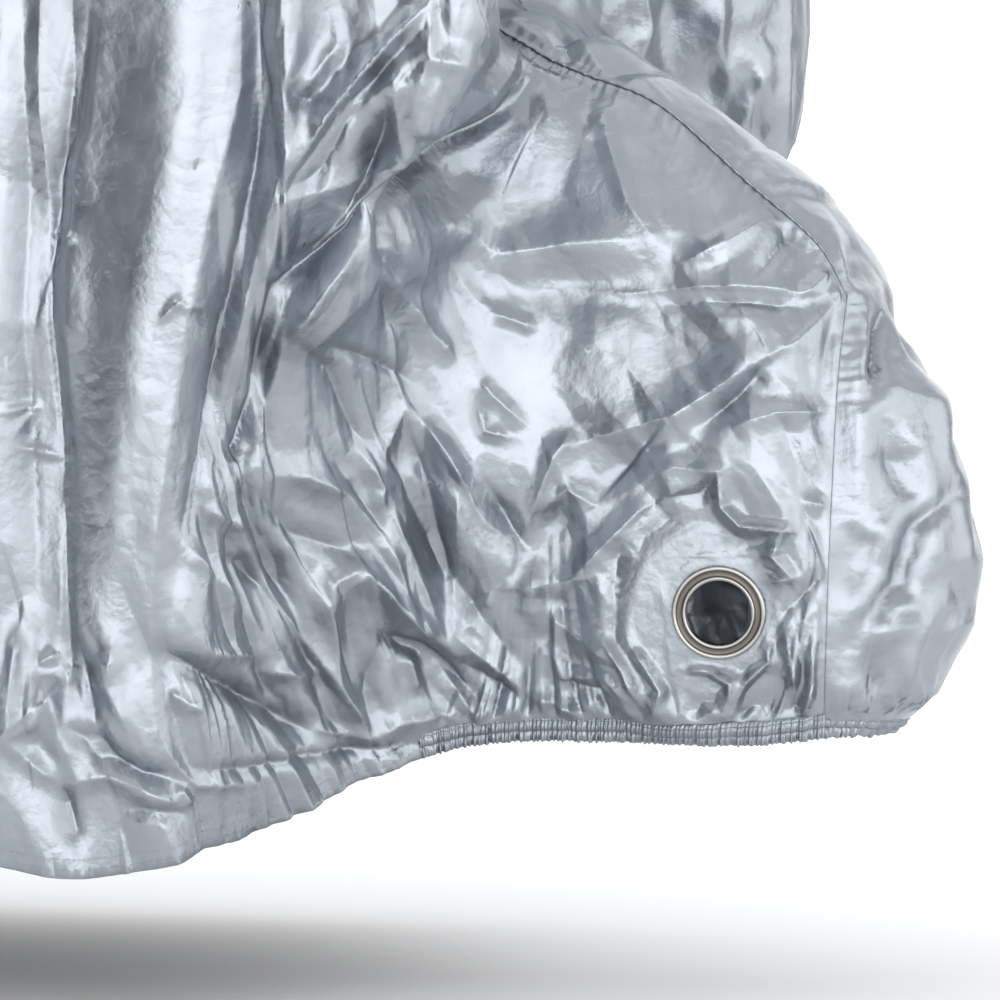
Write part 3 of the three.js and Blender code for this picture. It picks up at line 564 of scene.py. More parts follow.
# Seeds of the gathers, the hem's waves and the seam's puckers, added to a side's own one
GATHER_SEED, WAVE_SEED, SEAM_SEED = 60, 70, 80


def gather_share(a):
    """1 at the sections that an elastic gathers, 0 along the plain hem."""
    return 1 - smooth(FRONT_ELASTIC - 0.5, FRONT_ELASTIC, a) + smooth(REAR_ELASTIC, REAR_ELASTIC + 0.5, a)


def gathered_relief(place, above, from_seam, seed):
    """Radiating puckers above a gathered band, and the cloth's way in behind the band."""
    clear = smooth(BAND_HEIGHT, BAND_HEIGHT + 9, above) * smooth(0, 16, from_seam)
    place = place + PUCKER_LEAN * above * np.sin(place / PUCKER_SWAY)
    puckers = sum(rise * np.exp(-above / fade) * pleats(place, pitch, seed + k)
                  for k, (rise, fade, pitch) in enumerate(PUCKERS))
    line = -BAND_LINE * np.exp(-((above - BAND_HEIGHT) / 3) ** 2)
    return clear * puckers + (line - BAND_TUCK * (1 - smooth(8, BAND_HEIGHT, above)))


def calm_share(gather, above):
    """What is left of the film's facets above a gathered hem."""
    return 1 - gather * (1 - smooth(*CALM_ABOVE, above))


def seam_pucker(along, from_seam, seed):
    """Relief of the small puckers beside the centre strip's seams."""
    rise, pitch, reach = SEAM_PUCKER
    return (rise * pleats(along, pitch, seed) * np.exp(-from_seam / reach)
            * (1 - np.exp(-from_seam / SEAM_FLAT)))


# Hanging cloth of one side
SPLIT = 11.3                    # section where the fine grid in front meets the coarser one behind
# How far down each section the photograph's frame leaves the right side out
HIDDEN_RIGHT = ((6, 0), (7, 1.7), (8, 2.4), (9, 2.55), (10, 2.6), (11, 2.65), (LAST, 2.65))
HIDDEN_LEFT = ((0, 0), (LAST, 0))
HIDDEN_SHARE = 0.2              # share of the columns that such places get
HEM_TURN = ((0.5, -0.9), (-0.6, -1.8), (-6, -2.1), (-13, -2.0))    # the hem's turned edge: down, out
# A grid of cloth: its places, its directions out, and its places in the flat cut
Cloth = namedtuple("Cloth", "points out cut")
SEAM_EASE = 12                  # the relief comes in over this length from the seam
EDGE_ON_CALM = 0.65             # share of the facets taken off where the cloth turns away from the photograph
DEEPEST_AT_SEAT = 0.9           # the relief goes no deeper than this over the patch,
DEEPER_AROUND = 9               # and than this much more around it
COLUMNS_FROM = (7.4, 8.6)       # sections between which the tangle gives way to hanging columns
PLAIN_FROM = (11, 12)           # and between which the large facets grow, behind the photographed part
MEASURED = 1200                 # places at which the lengths along flank and hem are measured
MID_FLANK = 3.3                 # how far down the side the flank's length is taken


def at_ends(at, reach):
    """0 at the first and the last section, 1 from reach inwards."""
    return smooth(0, reach, at) * (1 - smooth(LAST - reach, LAST, at))


class Side:
    """The cloth of one side: where each place of its cut lies, in x, out, z."""

    def __init__(self, sign, changes, folds, creases, salt):
        rows = [[changes.get(name, {}).get(k, place) for k, place in enumerate(places)]
                for name, _, *places in SECTIONS]
        self.net = np.array(rows, float)
        self.mirror = np.array((1, sign, 1))
        self.folds = folds
        self.creases = creases
        self.salt = salt
        self.sections = np.linspace(0, LAST, MEASURED)
        self.flank_length, self.hem_length = (
            lengths_along(self.base(self.sections, np.full((MEASURED, 1), place))[:, 0], 0)
            for place in (MID_FLANK, float(HEM)))
        self.facets = [Crumple(pitch, slope, salt + k) for k, (pitch, slope) in enumerate(FACETS)]

    def base(self, a, b):
        """Unfolded cloth for rows a of sections and, in each row, places b."""
        down = through(self.net, a)
        row = np.arange(len(a))[:, None]
        i = np.clip(b.astype(int), 0, HEM - 1)
        f = (b - i)[..., None]
        p1, p2 = down[row, i], down[row, i + 1]
        p0 = np.where((i > 0)[..., None], down[row, np.maximum(i - 1, 0)], 2 * p1 - p2)
        p3 = np.where((i < HEM - 1)[..., None], down[row, np.minimum(i + 2, HEM)], 2 * p2 - p1)
        return curve(p0, p1, p2, p3, f)

    def normals(self, a, b, step=0.02):
        """Directions out of the unfolded cloth."""
        low_a, high_a = np.maximum(a - step, 0), np.minimum(a + step, LAST)
        low_b, high_b = np.maximum(b - step, 0), np.minimum(b + step, HEM)
        along = self.base(high_a, b) - self.base(low_a, b)
        down = self.base(a, high_b) - self.base(a, low_b)
        return unit(np.cross(down, along))

    def even_rows(self, start, end, count):
        """Sections from start to end, evenly spaced along the flank."""
        first, last = np.interp((start, end), self.sections, self.flank_length)
        return np.interp(np.linspace(first, last, count), self.flank_length, self.sections)

    def even_places(self, a, count, hidden_part, hidden_share):
        """Places down each row, even in length above and below the part that the photograph can't see."""
        fine = np.linspace(0, HEM, 200)
        gone = lengths_along(self.base(a, np.tile(fine, (len(a), 1))), 1)
        w = np.linspace(0, 1, count)
        rows = []
        for lengths, split, share in zip(gone, hidden_part, hidden_share):
            at_split = np.interp(split, fine, lengths)
            above = at_split * w / max(share, 1e-6)
            below = at_split + (lengths[-1] - at_split) * (w - share) / (1 - share)
            rows.append(np.interp(np.where(w < share, above, below), lengths, fine))
        return np.array(rows)

    def crumple(self, at, along, down):
        """Facets of several sizes: tangled at the front, drawn out upright where the cloth hangs down."""
        large, middle, small, tall, slim = self.facets
        upright = smooth(*COLUMNS_FROM, at)
        tangled = middle.height(along, down) + small.height(along + 0.4 * down, down)
        drawn = tall.height(along * 1.3, down / 2) + slim.height(along, down / 2.2)
        behind = 1 + 0.6 * smooth(*PLAIN_FROM, at)
        return large.height(along, down) * behind + tangled * (1 - upright) + drawn * upright

    def hang(self, a, b):
        """Middle of the cloth with all its folds, for rows a and places b."""
        base = self.base(a, b)
        normal = self.normals(a, b)
        at = np.broadcast_to(a[:, None], b.shape)
        ends = at_ends(at, 0.7)
        lift = fold_height(self.folds, base[..., 0], base[..., 2]) * ends * smooth(0, 0.5, b)
        cloth, from_seat = press_seat(base + normal * lift[..., None])
        px, py = on_photo(cloth * self.mirror)
        toward = (normal * self.mirror) @ BACK
        facing = smooth(0.02, 0.25, toward)
        edge_on = smooth(-0.1, 0.1, toward) * (1 - smooth(0.25, 0.8, toward))
        down = lengths_along(base, 1)
        above = down[:, -1:] - down
        along = np.interp(at, self.sections, self.flank_length)
        along_hem = np.interp(at, self.sections, self.hem_length)
        edges = smooth(0, SEAM_EASE, down) * at_ends(at, 0.35)
        flat_seat = smooth(31, 45, from_seat)
        gather = gather_share(at)
        film = self.crumple(at, along, down) * (1 + facing * (share_of(CALM + BUSY, px, py) - 1))
        film *= calm_share(gather, above) * (1 - EDGE_ON_CALM * edge_on)
        relief = edges * flat_seat * (facing * crease_height(self.creases, px, py) + film)
        from_seam = np.minimum(along_hem, self.hem_length[-1] - along_hem)
        relief += gather * gathered_relief(along_hem, above, from_seam, self.salt + GATHER_SEED)
        rise, fade, pitch = HEM_WAVE
        wave = pleats(along_hem, pitch, self.salt + WAVE_SEED)
        relief += (1 - gather) * rise * np.exp(-above / fade) * wave * ends
        relief += flat_seat * patch_relief(cloth)
        relief += seam_pucker(along, down, self.salt + SEAM_SEED)
        relief = np.maximum(relief, -DEEPEST_AT_SEAT - DEEPER_AROUND * smooth(52, 84, from_seat))
        return Cloth(cloth + normal * relief[..., None], normal, np.stack([along, down], -1))


def turned_hem(cloth):
    """The cloth's places, with the hem's edge turned up behind."""
    edge = cloth.points[:, -1]
    down = unit(edge - cloth.points[:, -5])
    extra = [edge + down * fall + cloth.out[:, -1] * off for fall, off in HEM_TURN]
    return np.concatenate([cloth.points, np.stack(extra, 1)], 1)


def turned_cut(cloth):
    """The places in the flat cut, with those of the turned hem added."""
    more = [cloth.cut[:, -1:] + np.array((0, 4.0 * (k + 1))) for k in range(len(HEM_TURN))]
    return np.concatenate([cloth.cut] + more, 1)


# Meshes
def add_mesh(name, points, faces, cut=None):
    """Mesh of points in the tables' frame, in metres, with its cut's millimetres as UV."""
    mesh = bpy.data.meshes.new(name)
    mesh.from_pydata(((points - ORIGIN) * MM).tolist(), [], faces)
    mesh.polygons.foreach_set("use_smooth", np.ones(len(faces), bool))
    if cut is not None:
        corners = np.zeros(len(mesh.loops), int)
        mesh.loops.foreach_get("vertex_index", corners)
        mesh.uv_layers.new(name="cut").data.foreach_set("uv", (cut[corners] * MM).ravel())
    mesh.update()
    obj = bpy.data.objects.new(name, mesh)
    bpy.context.collection.objects.link(obj)
    return obj


def thin_out(piece, most):
    """Leaves at most that many triangles, long ones on the flats and fine ones along the creases."""
    corners = np.zeros(len(piece.data.polygons), int)
    piece.data.polygons.foreach_get("loop_total", corners)
    thin = piece.modifiers.new("thin", "DECIMATE")
    thin.ratio = most / (corners - 2).sum()
    bpy.ops.object.select_all(action="DESELECT")
    bpy.context.view_layer.objects.active = piece
    bpy.ops.object.modifier_apply(modifier="thin")


def grid_faces(number):
    """Quads of a grid whose corner numbers are given."""
    quads = np.stack([number[:-1, :-1], number[:-1, 1:], number[1:, 1:], number[1:, :-1]], -1)
    return quads.reshape(-1, 4)


def facing_out(faces, points, out):
    """The same faces, turned so that the first one faces out."""
    corners = points[list(faces[0])]
    normal = np.cross(corners[1] - corners[0], corners[2] - corners[0])
    return [face[::-1] for face in faces] if normal @ out < 0 else faces


def pierce(points, faces):
    """Leaves out the faces inside the eyelet's hole and draws the hole's edge to its circle."""
    off = points - SEAT
    high = off @ SEAT_OUT
    flat = off - np.outer(high, SEAT_OUT)
    near_side = np.abs(high) < 20
    inside = set(np.flatnonzero((np.linalg.norm(flat, axis=1) < CLOTH_HOLE) & near_side).tolist())
    kept = [face for face in faces if not inside.issuperset(face)]
    rim = sorted({corner for face in kept for corner in inside.intersection(face)})
    points[rim] = SEAT + np.outer(high[rim], SEAT_OUT) + unit(flat[rim]) * CLOTH_HOLE
    used = np.zeros(len(points), bool)
    used[[corner for face in kept for corner in face]] = True
    renumber = (np.cumsum(used) - 1).tolist()
    return points[used], [tuple(renumber[corner] for corner in face) for face in kept], used


def add_panel(name, side, front, rear):
    """One side's panel: a fine grid at the front and one of half the columns behind, joined at its edge."""
    first, second = turned_hem(front), turned_hem(rear)[1:]
    cols = front.points.shape[1]
    picked = np.r_[0:cols:2, cols:cols + len(HEM_TURN)]
    number = np.arange(first.shape[0] * first.shape[1]).reshape(first.shape[:2])
    behind = number.size + np.arange(second.shape[0] * second.shape[1]).reshape(second.shape[:2])
    faces = grid_faces(number).tolist() + grid_faces(behind).tolist()
    for k in range(len(picked) - 1):
        joined = number[-1, picked[k]:picked[k + 1] + 1].tolist()
        faces.append([*joined, int(behind[0, k + 1]), int(behind[0, k])])
    points = np.concatenate([first.reshape(-1, 3), second.reshape(-1, 3)])
    cut = np.concatenate([turned_cut(front).reshape(-1, 2), turned_cut(rear)[1:].reshape(-1, 2)])
    faces = facing_out(faces, points, front.out[0, 0])
    points, faces, used = pierce(points, faces)
    if side.mirror[1] < 0:
        faces = [face[::-1] for face in faces]
    return add_mesh(name, points * side.mirror, faces, cut[used])


def side_cloth(side, split, rows, cols, hidden):
    """Front and rear cloth of one side, meeting at section split, the rear one with half the columns."""
    cloths = []
    for start, end, count, every in ((0, split, rows[0], 1), (split, LAST, rows[1], 2)):
        a = side.even_rows(start, end, count)
        unseen = np.interp(a, *zip(*hidden))
        b = side.even_places(a, cols, unseen, HIDDEN_SHARE * smooth(6, 8, a))[:, ::every]
        cloths.append(side.hang(a, b))
    return cloths


# Centre strip
def seam_path(side, counts):
    """The strip's edge, up the nose, over the top and down the stern, and the strip's rise at each place."""
    nose, over, back, stern = counts
    rises = np.array([[row[1]] for row in SECTIONS], float)
    up = side.base(np.zeros(1), np.linspace(HEM, 0, nose)[None])[0]
    a = np.concatenate([side.even_rows(0, BRIM, over), side.even_rows(BRIM, LAST, back)[1:]])
    top = side.base(a, np.zeros((len(a), 1)))[:, 0]
    down = side.base(np.array([float(LAST)]), np.linspace(0, HEM, stern)[None])[0]
    crown = [np.interp(up[:, 2], *zip(*NOSE_CROWN)), through(rises, a)[1:-1, 0],
             np.interp(down[:, 2], *zip(*STERN_CROWN))]
    return press_seat(np.concatenate([up, top[1:-1], down]))[0], np.concatenate(crown)


def strip_cloth(side, counts, cols, salt):
    """Centre strip from the nose's hem to the stern's, from right to left, in x, y, z."""
    path, crown = seam_path(side, counts)
    v = np.linspace(-1, 1, cols)[None, :]
    tangent = unit(np.gradient(path, axis=0))
    rise_way = unit(np.stack([tangent[:, 2], np.zeros(len(path)), -tangent[:, 0]], -1))
    x, z = path[:, None, 0], path[:, None, 2]
    offset = v * path[:, None, 1]
    on_nose = (x > 0) & (z < SECTIONS[0][2][2] + 1)
    fold = np.where(on_nose, fold_height(STRIP_FOLDS, np.broadcast_to(z, offset.shape), offset), 0)
    rise = (crown[:, None] + fold) * (1 - v * v)
    cloth = np.stack([np.broadcast_to(x, offset.shape), offset, np.broadcast_to(z, offset.shape)], -1)
    cloth = cloth + rise_way[:, None] * rise[..., None]
    normal = unit(np.cross(np.gradient(cloth, axis=1), np.gradient(cloth, axis=0)))
    normal *= np.sign((normal * rise_way[:, None]).sum(-1, keepdims=True))
    along = np.broadcast_to(lengths_along(path, 0)[:, None], offset.shape)
    across = lengths_along(cloth, 1)
    from_seam = np.minimum(across, across[:, -1:] - across)
    px, py = on_photo(cloth)
    facing = smooth(0.02, 0.25, normal @ BACK)
    film = sum(Crumple(pitch, slope, salt + k, (3500, 400)).height(along, across)
               for k, (pitch, slope) in enumerate(FACETS[:3]))
    last = along[-1, 0]
    start, end = STERN_GATHER
    gather = 1 - smooth(*NOSE_GATHER, along) + smooth(last - start, last - end, along)
    above = np.minimum(along, last - along)
    film = film * calm_share(gather, above)
    relief = smooth(0, SEAM_EASE, from_seam) * (facing * crease_height(NOSE_CREASES, px, py) + film)
    relief += gather * gathered_relief(across, above, from_seam, salt + GATHER_SEED)
    relief += seam_pucker(along, from_seam, salt + SEAM_SEED)
    return Cloth(cloth + normal * relief[..., None], normal, np.stack([along, across], -1))


def add_strip(name, cloth):
    """The centre strip's mesh."""
    rows, cols = cloth.points.shape[:2]
    points = cloth.points.reshape(-1, 3)
    faces = grid_faces(np.arange(rows * cols).reshape(rows, cols)).tolist()
    faces = facing_out(faces, points, cloth.out[0, 0])
    return add_mesh(name, points, faces, cloth.cut.reshape(-1, 2))


WELT_CORNERS = 8
WELT_RISE, WELT_SPREAD = 1.1, 0.8       # half size of the welt, up from the seam and across it
WELT_PUCKER = 0.35                      # rise of its puckers
WELT_SLIM = 0.35                        # what is left of its size low on the nose
WELT_GROWS = (430, 520)                 # heights between which it comes to its full size


def add_welt(name, sides, counts):
    """Folded seam allowances that stand up along the centre strip's two edges, a little puckered."""
    points, faces = [], []
    turns = np.linspace(0, 2 * np.pi, WELT_CORNERS, endpoint=False)
    for side in sides:
        path, _ = seam_path(side, counts)
        way = unit(np.gradient(path, axis=0))
        up = unit(np.stack([way[:, 2], np.full(len(path), 0.75), -way[:, 0]], -1))
        up = unit(up - (up * way).sum(1, keepdims=True) * way)
        across = np.cross(way, up)
        size = WELT_SLIM + (1 - WELT_SLIM) * smooth(*WELT_GROWS, path[:, 2:])
        pucker = WELT_PUCKER * pleats(lengths_along(path, 0), 9, side.salt + SEAM_SEED + 1)[:, None]
        rise = size * (WELT_RISE * (np.sin(turns)[None] + 0.35) + pucker)
        spread = size * (WELT_SPREAD * np.cos(turns)[None] + 0.6 * pucker)
        rings = path[:, None] + up[:, None] * rise[..., None] + across[:, None] * spread[..., None]
        first = WELT_CORNERS * sum(map(len, points))
        number = first + np.arange(rings.shape[0] * WELT_CORNERS).reshape(-1, WELT_CORNERS)
        rings *= side.mirror
        quads = grid_faces(np.concatenate([number, number[:, :1]], 1)).tolist()
        outward = rings[0, 0] - rings[0].mean(0)
        shifted = [[corner - first for corner in quads[0]]]
        turned = facing_out(shifted, rings.reshape(-1, 3), outward)[0] != shifted[0]
        faces.extend(quad[::-1] if turned else quad for quad in quads)
        points.append(rings)
    return add_mesh(name, np.concatenate(points).reshape(-1, 3), faces)


# Gathered elastic casings
def band_frames(right, left, sections, strip, at_start):
    """One gathered hem from the right side over the strip to the left: places, directions down and out."""
    count = 300
    a = np.linspace(*sections, count)
    b = np.tile((HEM - 0.06, float(HEM)), (count, 1))
    parts = []
    for side in (right, left):
        pair = press_seat(side.base(a, b))[0]
        ways = (pair[:, 1], unit(pair[:, 1] - pair[:, 0]), side.normals(a, b)[:, 1])
        parts.append([way * side.mirror for way in ways])
    rows = (0, 2) if at_start else (-1, -3)
    edge, inner = strip.points[rows[0]], strip.points[rows[1]]
    middle = [edge, unit(edge - inner), strip.out[rows[0]]]
    return [np.concatenate([first, centre, last[::-1]])
            for first, centre, last in zip(parts[0], middle, parts[1])]


CORNER_EASE = 9                 # length over which the casing's directions are eased at a corner
CASING_PITCHES = (2.8, 7.5, 3.7, 34)    # of its fine and wide pleats, its ruffled lip and its slow swell
CASING_WIDTH = 34               # width of its strip of cloth, laid flat


def evened(frames, pitch):
    """The same frames spaced evenly along the hem, with their directions eased at the corners."""
    gone = lengths_along(frames[0], 0)
    places = np.arange(0, gone[-1], pitch)
    points, down, out = (at_places(places, gone, ways) for ways in frames)
    ease = int(CORNER_EASE / pitch)
    kernel = np.ones(2 * ease + 1) / (2 * ease + 1)
    down, out = (np.stack([np.convolve(np.pad(ways[:, k], ease, mode="edge"), kernel, "valid")
                           for k in range(3)], -1) for ways in (down, out))
    return places, points, unit(down), unit(out)


def add_band(name, frames, pitch, seed):
    """Elastic casing: a flat tube of pleated cloth between two stitch lines, with a ruffled lip below."""
    places, points, down, out = evened(frames, pitch)
    fine, wide, lip, swell = (pleats(places, each, seed + k) for k, each in enumerate(CASING_PITCHES))
    grid = []
    for above, off, pleated in BAND_SECTION:
        lower = smooth(7.5, 3, above)
        fold = 0.75 * fine + 0.8 * wide + lower * (0.45 * lip - 0.2 * fine)
        fall = -above + 0.3 * wide + 0.5 * swell + lower * 0.7 * lip
        grid.append(points + down * fall[:, None] + out * (off + pleated * fold)[:, None])
    grid = np.stack(grid, 1)
    faces = grid_faces(np.arange(grid.shape[0] * grid.shape[1]).reshape(grid.shape[:2])).tolist()
    faces = facing_out(faces, grid.reshape(-1, 3), out[0])
    width = np.linspace(0, CASING_WIDTH, grid.shape[1])
    cut = np.stack(np.broadcast_arrays(places[:, None], width[None]), -1)
    return add_mesh(name, grid.reshape(-1, 3), faces, cut.reshape(-1, 2))


# Stitching
def stitch_model():
    """One stitch: a short round of thread whose ends dip into the cloth, a millimetre long."""
    bpy.ops.object.select_all(action="DESELECT")
    bpy.ops.mesh.primitive_uv_sphere_add(segments=6, ring_count=4, radius=0.5, location=(0, 0, 0))
    model = bpy.context.active_object
    bpy.ops.object.mode_set(mode="EDIT")
    bpy.ops.mesh.select_all(action="SELECT")
    bpy.ops.transform.rotate(value=math.pi / 2, orient_axis="Y", center_override=(0, 0, 0))
    bpy.ops.object.mode_set(mode="OBJECT")
    points = np.array([vertex.co for vertex in model.data.vertices])
    faces = [tuple(face.vertices) for face in model.data.polygons]
    bpy.data.objects.remove(model)
    return points, faces


def add_stitching(name, lines, pitch, length, thick):
    """Rows of stitches along lines of places and directions out, all in one mesh."""
    model, model_faces = stitch_model()
    points, faces = [], []
    for path, out in lines:
        gone = lengths_along(path, 0)
        middle = np.arange(pitch, gone[-1] - pitch, pitch)
        start, end = (at_places(middle + half, gone, path) for half in (-length / 2, length / 2))
        way = unit(end - start)
        up = unit(at_places(middle, gone, out))
        side = np.cross(up, way)
        centre = (start + end) / 2 + up * 0.25 * thick
        for c, w, s, u in zip(centre, way, side, up):
            first = len(model) * len(points)
            faces.extend(tuple(corner + first for corner in face) for face in model_faces)
            points.append(c + model @ np.array((w * length, s * thick, u * thick)))
    return add_mesh(name, np.concatenate(points), faces)


def line_above(cloth, above, rows=slice(None)):
    """Places on the cloth at one distance above its hem, row by row, with the directions out there."""
    points, out = cloth.points[rows], cloth.out[rows]
    from_hem = lengths_along(points[:, ::-1], 1)
    places, ways = [], []
    for lengths, row, row_out in zip(from_hem, points[:, ::-1], out[:, ::-1]):
        places.append(at_places(above, lengths, row))
        ways.append(at_places(above, lengths, row_out))
    return np.array(places), np.array(ways)


# Eyelet and patch
PATCH_SQUARENESS = 6            # exponent of its outline: 2 would be a circle
# Section of the patch: share of the way from the hole to the edge, and depth behind the cloth's middle
PATCH_SECTION = ((0, 1.3), (0.5, 1.3), (0.96, 1.3), (1, 1.6), (1, 2.2), (0.96, 2.5), (0.5, 2.5), (0, 2.5))
# Rolled ring of the steel eyelet from its bore outwards and back: radius, and height over the cloth
EYELET_SECTION = (
    (21.0, -3.2), (21.0, 1.2), (21.1, 2.3), (21.6, 3.1), (22.4, 3.5), (23.1, 3.3), (23.5, 2.7),
    (23.7, 1.9), (24.2, 1.6), (25.6, 1.5), (27.0, 1.6), (27.4, 1.9), (27.7, 2.5), (28.3, 2.9),
    (29.1, 3.0), (29.8, 2.7), (30.3, 2.1), (30.5, 1.4), (30.2, 1.2), (26.5, 1.2), (24.2, 1.2),
    (23.4, 0.9), (23.4, -2.6), (23.9, -2.9), (30.3, -2.9), (30.5, -3.3), (30.3, -4.2), (29.6, -4.5),
    (22.4, -4.5), (21.4, -4.1),
)
GROOVE = (23.4, 27.9, 1.2)      # radii of the flange's groove, whose faces take a darker steel as painted shade, and a height below its floor
EYELET_TURNS = 96


def to_seat(obj, sign):
    """Carries a shape drawn about the Z axis, in mm, to its seat on the left (1) or the right (-1) side."""
    columns = np.stack([SEAT_ACROSS, SEAT_UP, SEAT_OUT, SEAT - ORIGIN], 1)
    place = Matrix([*columns.tolist(), (0, 0, 0, 1)])
    mirror = Matrix.Diagonal((1, sign, 1, 1))
    obj.data.transform(Matrix.Scale(MM, 4) @ mirror @ place @ obj.matrix_basis)
    obj.matrix_basis = Matrix.Identity(4)
    bpy.ops.object.select_all(action="DESELECT")
    bpy.context.view_layer.objects.active = obj
    obj.select_set(True)
    bpy.ops.object.mode_set(mode="EDIT")
    bpy.ops.mesh.select_all(action="SELECT")
    bpy.ops.mesh.normals_make_consistent(inside=False)
    bpy.ops.object.mode_set(mode="OBJECT")


def add_eyelet(name, sign):
    """Rolled steel eyelet: a ring's section drawn out loop by loop from a circle and closed on itself."""
    bpy.ops.object.select_all(action="DESELECT")
    radius, height = EYELET_SECTION[0]
    bpy.ops.mesh.primitive_circle_add(vertices=EYELET_TURNS, radius=radius, location=(0, 0, 0))
    ring = bpy.context.active_object
    ring.name = name
    bpy.ops.object.mode_set(mode="EDIT")
    bpy.ops.mesh.select_all(action="SELECT")
    bpy.ops.transform.translate(value=(0, 0, height))
    for next_radius, next_height in EYELET_SECTION[1:]:
        bpy.ops.mesh.extrude_region_move(TRANSFORM_OT_translate={"value": (0, 0, next_height - height)})
        scale = next_radius / radius
        bpy.ops.transform.resize(value=(scale, scale, 1))
        radius, height = next_radius, next_height
    bpy.ops.object.mode_set(mode="OBJECT")
    bpy.ops.object.mode_set(mode="EDIT")
    bpy.ops.mesh.select_all(action="DESELECT")
    bpy.ops.object.mode_set(mode="OBJECT")
    for edge in ring.data.edges:
        ends = [ring.data.vertices[k].co for k in edge.vertices]
        for loop_radius, loop_height in (EYELET_SECTION[0], EYELET_SECTION[-1]):
            if all(abs(p.z - loop_height) < 1e-3 and abs(p.xy.length - loop_radius) < 1e-2 for p in ends):
                edge.select = True
    bpy.ops.object.mode_set(mode="EDIT")
    bpy.ops.mesh.select_mode(type="EDGE")
    bpy.ops.mesh.bridge_edge_loops()
    bpy.ops.mesh.select_mode(type="VERT")
    bpy.ops.object.mode_set(mode="OBJECT")
    # faces in the groove take the second, darker steel: painted shade
    inner, outer, floor_height = GROOVE
    for face in ring.data.polygons:
        face.material_index = int(inner < face.center.xy.length < outer and face.center.z > floor_height)
    to_seat(ring, sign)
    bpy.ops.object.shade_smooth_by_angle(angle=math.radians(50))
    return ring


def add_patch(name, sign):
    """Square of cloth with round corners behind the panel, with the eyelet's hole through it."""
    turns = np.linspace(0, 2 * np.pi, EYELET_TURNS, endpoint=False)
    c, s = np.cos(turns)[:, None], np.sin(turns)[:, None]
    reach = (np.abs(c) ** PATCH_SQUARENESS + np.abs(s) ** PATCH_SQUARENESS) ** (1 / PATCH_SQUARENESS)
    outline = PATCH_HALF / reach
    share, depth = np.array(PATCH_SECTION).T[:, None]
    radius = CLOTH_HOLE + share * (outline - CLOTH_HOLE)
    rings = SEAT + sum(k[..., None] * way for k, way in (
        (radius * c, SEAT_ACROSS), (radius * s, SEAT_UP), (np.broadcast_to(-depth, radius.shape), SEAT_OUT)))
    number = np.arange(rings.shape[0] * rings.shape[1]).reshape(rings.shape[:2])
    faces = grid_faces(np.pad(number, ((0, 1), (0, 1)), mode="wrap")).tolist()
    points = rings.reshape(-1, 3)
    faces = facing_out(faces, points, SEAT_OUT)
    if sign < 0:
        faces = [face[::-1] for face in faces]
    return add_mesh(name, points * np.array((1, sign, 1)), faces)


# Materials
def linear(hex_colour):
    """sRGB hex to the linear values that a shader takes."""
    channels = [int(hex_colour[k:k + 2], 16) / 255 for k in (1, 3, 5)]
    return tuple(c / 12.92 if c <= 0.04045 else ((c + 0.055) / 1.055) ** 2.4 for c in channels) + (1,)


def node(tree, kind, settings=None, links=None):
    """Adds a node, sets its values and links its sockets."""
    made = tree.nodes.new(kind)
    for key, value in (settings or {}).items():
        if isinstance(key, int) or key in made.inputs:
            made.inputs[key].default_value = value
        else:
            setattr(made, key, value)
    for key, source in (links or {}).items():
        tree.links.new(source, made.inputs[key])
    return made


METRE = 1000                    # pattern sizes are in mm, and the places on the object in metres
# the film's own tint, and the darker grey of the painted shade in its hollows
FILM_TINT, PAINTED_SHADE_TINT = "#a6acb3", "#5c626b"
PAINTED_SHADE_REACH = 0.07             # how far, in m, nearby cloth still adds painted shade to a hollow
WRINKLE, WRINKLE_HEIGHT = 0.25, 0.0024      # strength of the film's wrinkles, and their height in m
GRAIN_HEIGHT = 0.0002           # height in m of the finest reliefs: grain, twist, weave and turning marks
YARN = 0.5                      # spacing of the back's yarns
WAVE_TURN = 6.28                # with the scale divided by this, a wave's bands repeat after two yarns


def new_material(name):
    """Material with an empty node tree, and that tree."""
    material = bpy.data.materials.new(name)
    material.use_nodes = True
    material.node_tree.nodes.clear()
    return material, material.node_tree


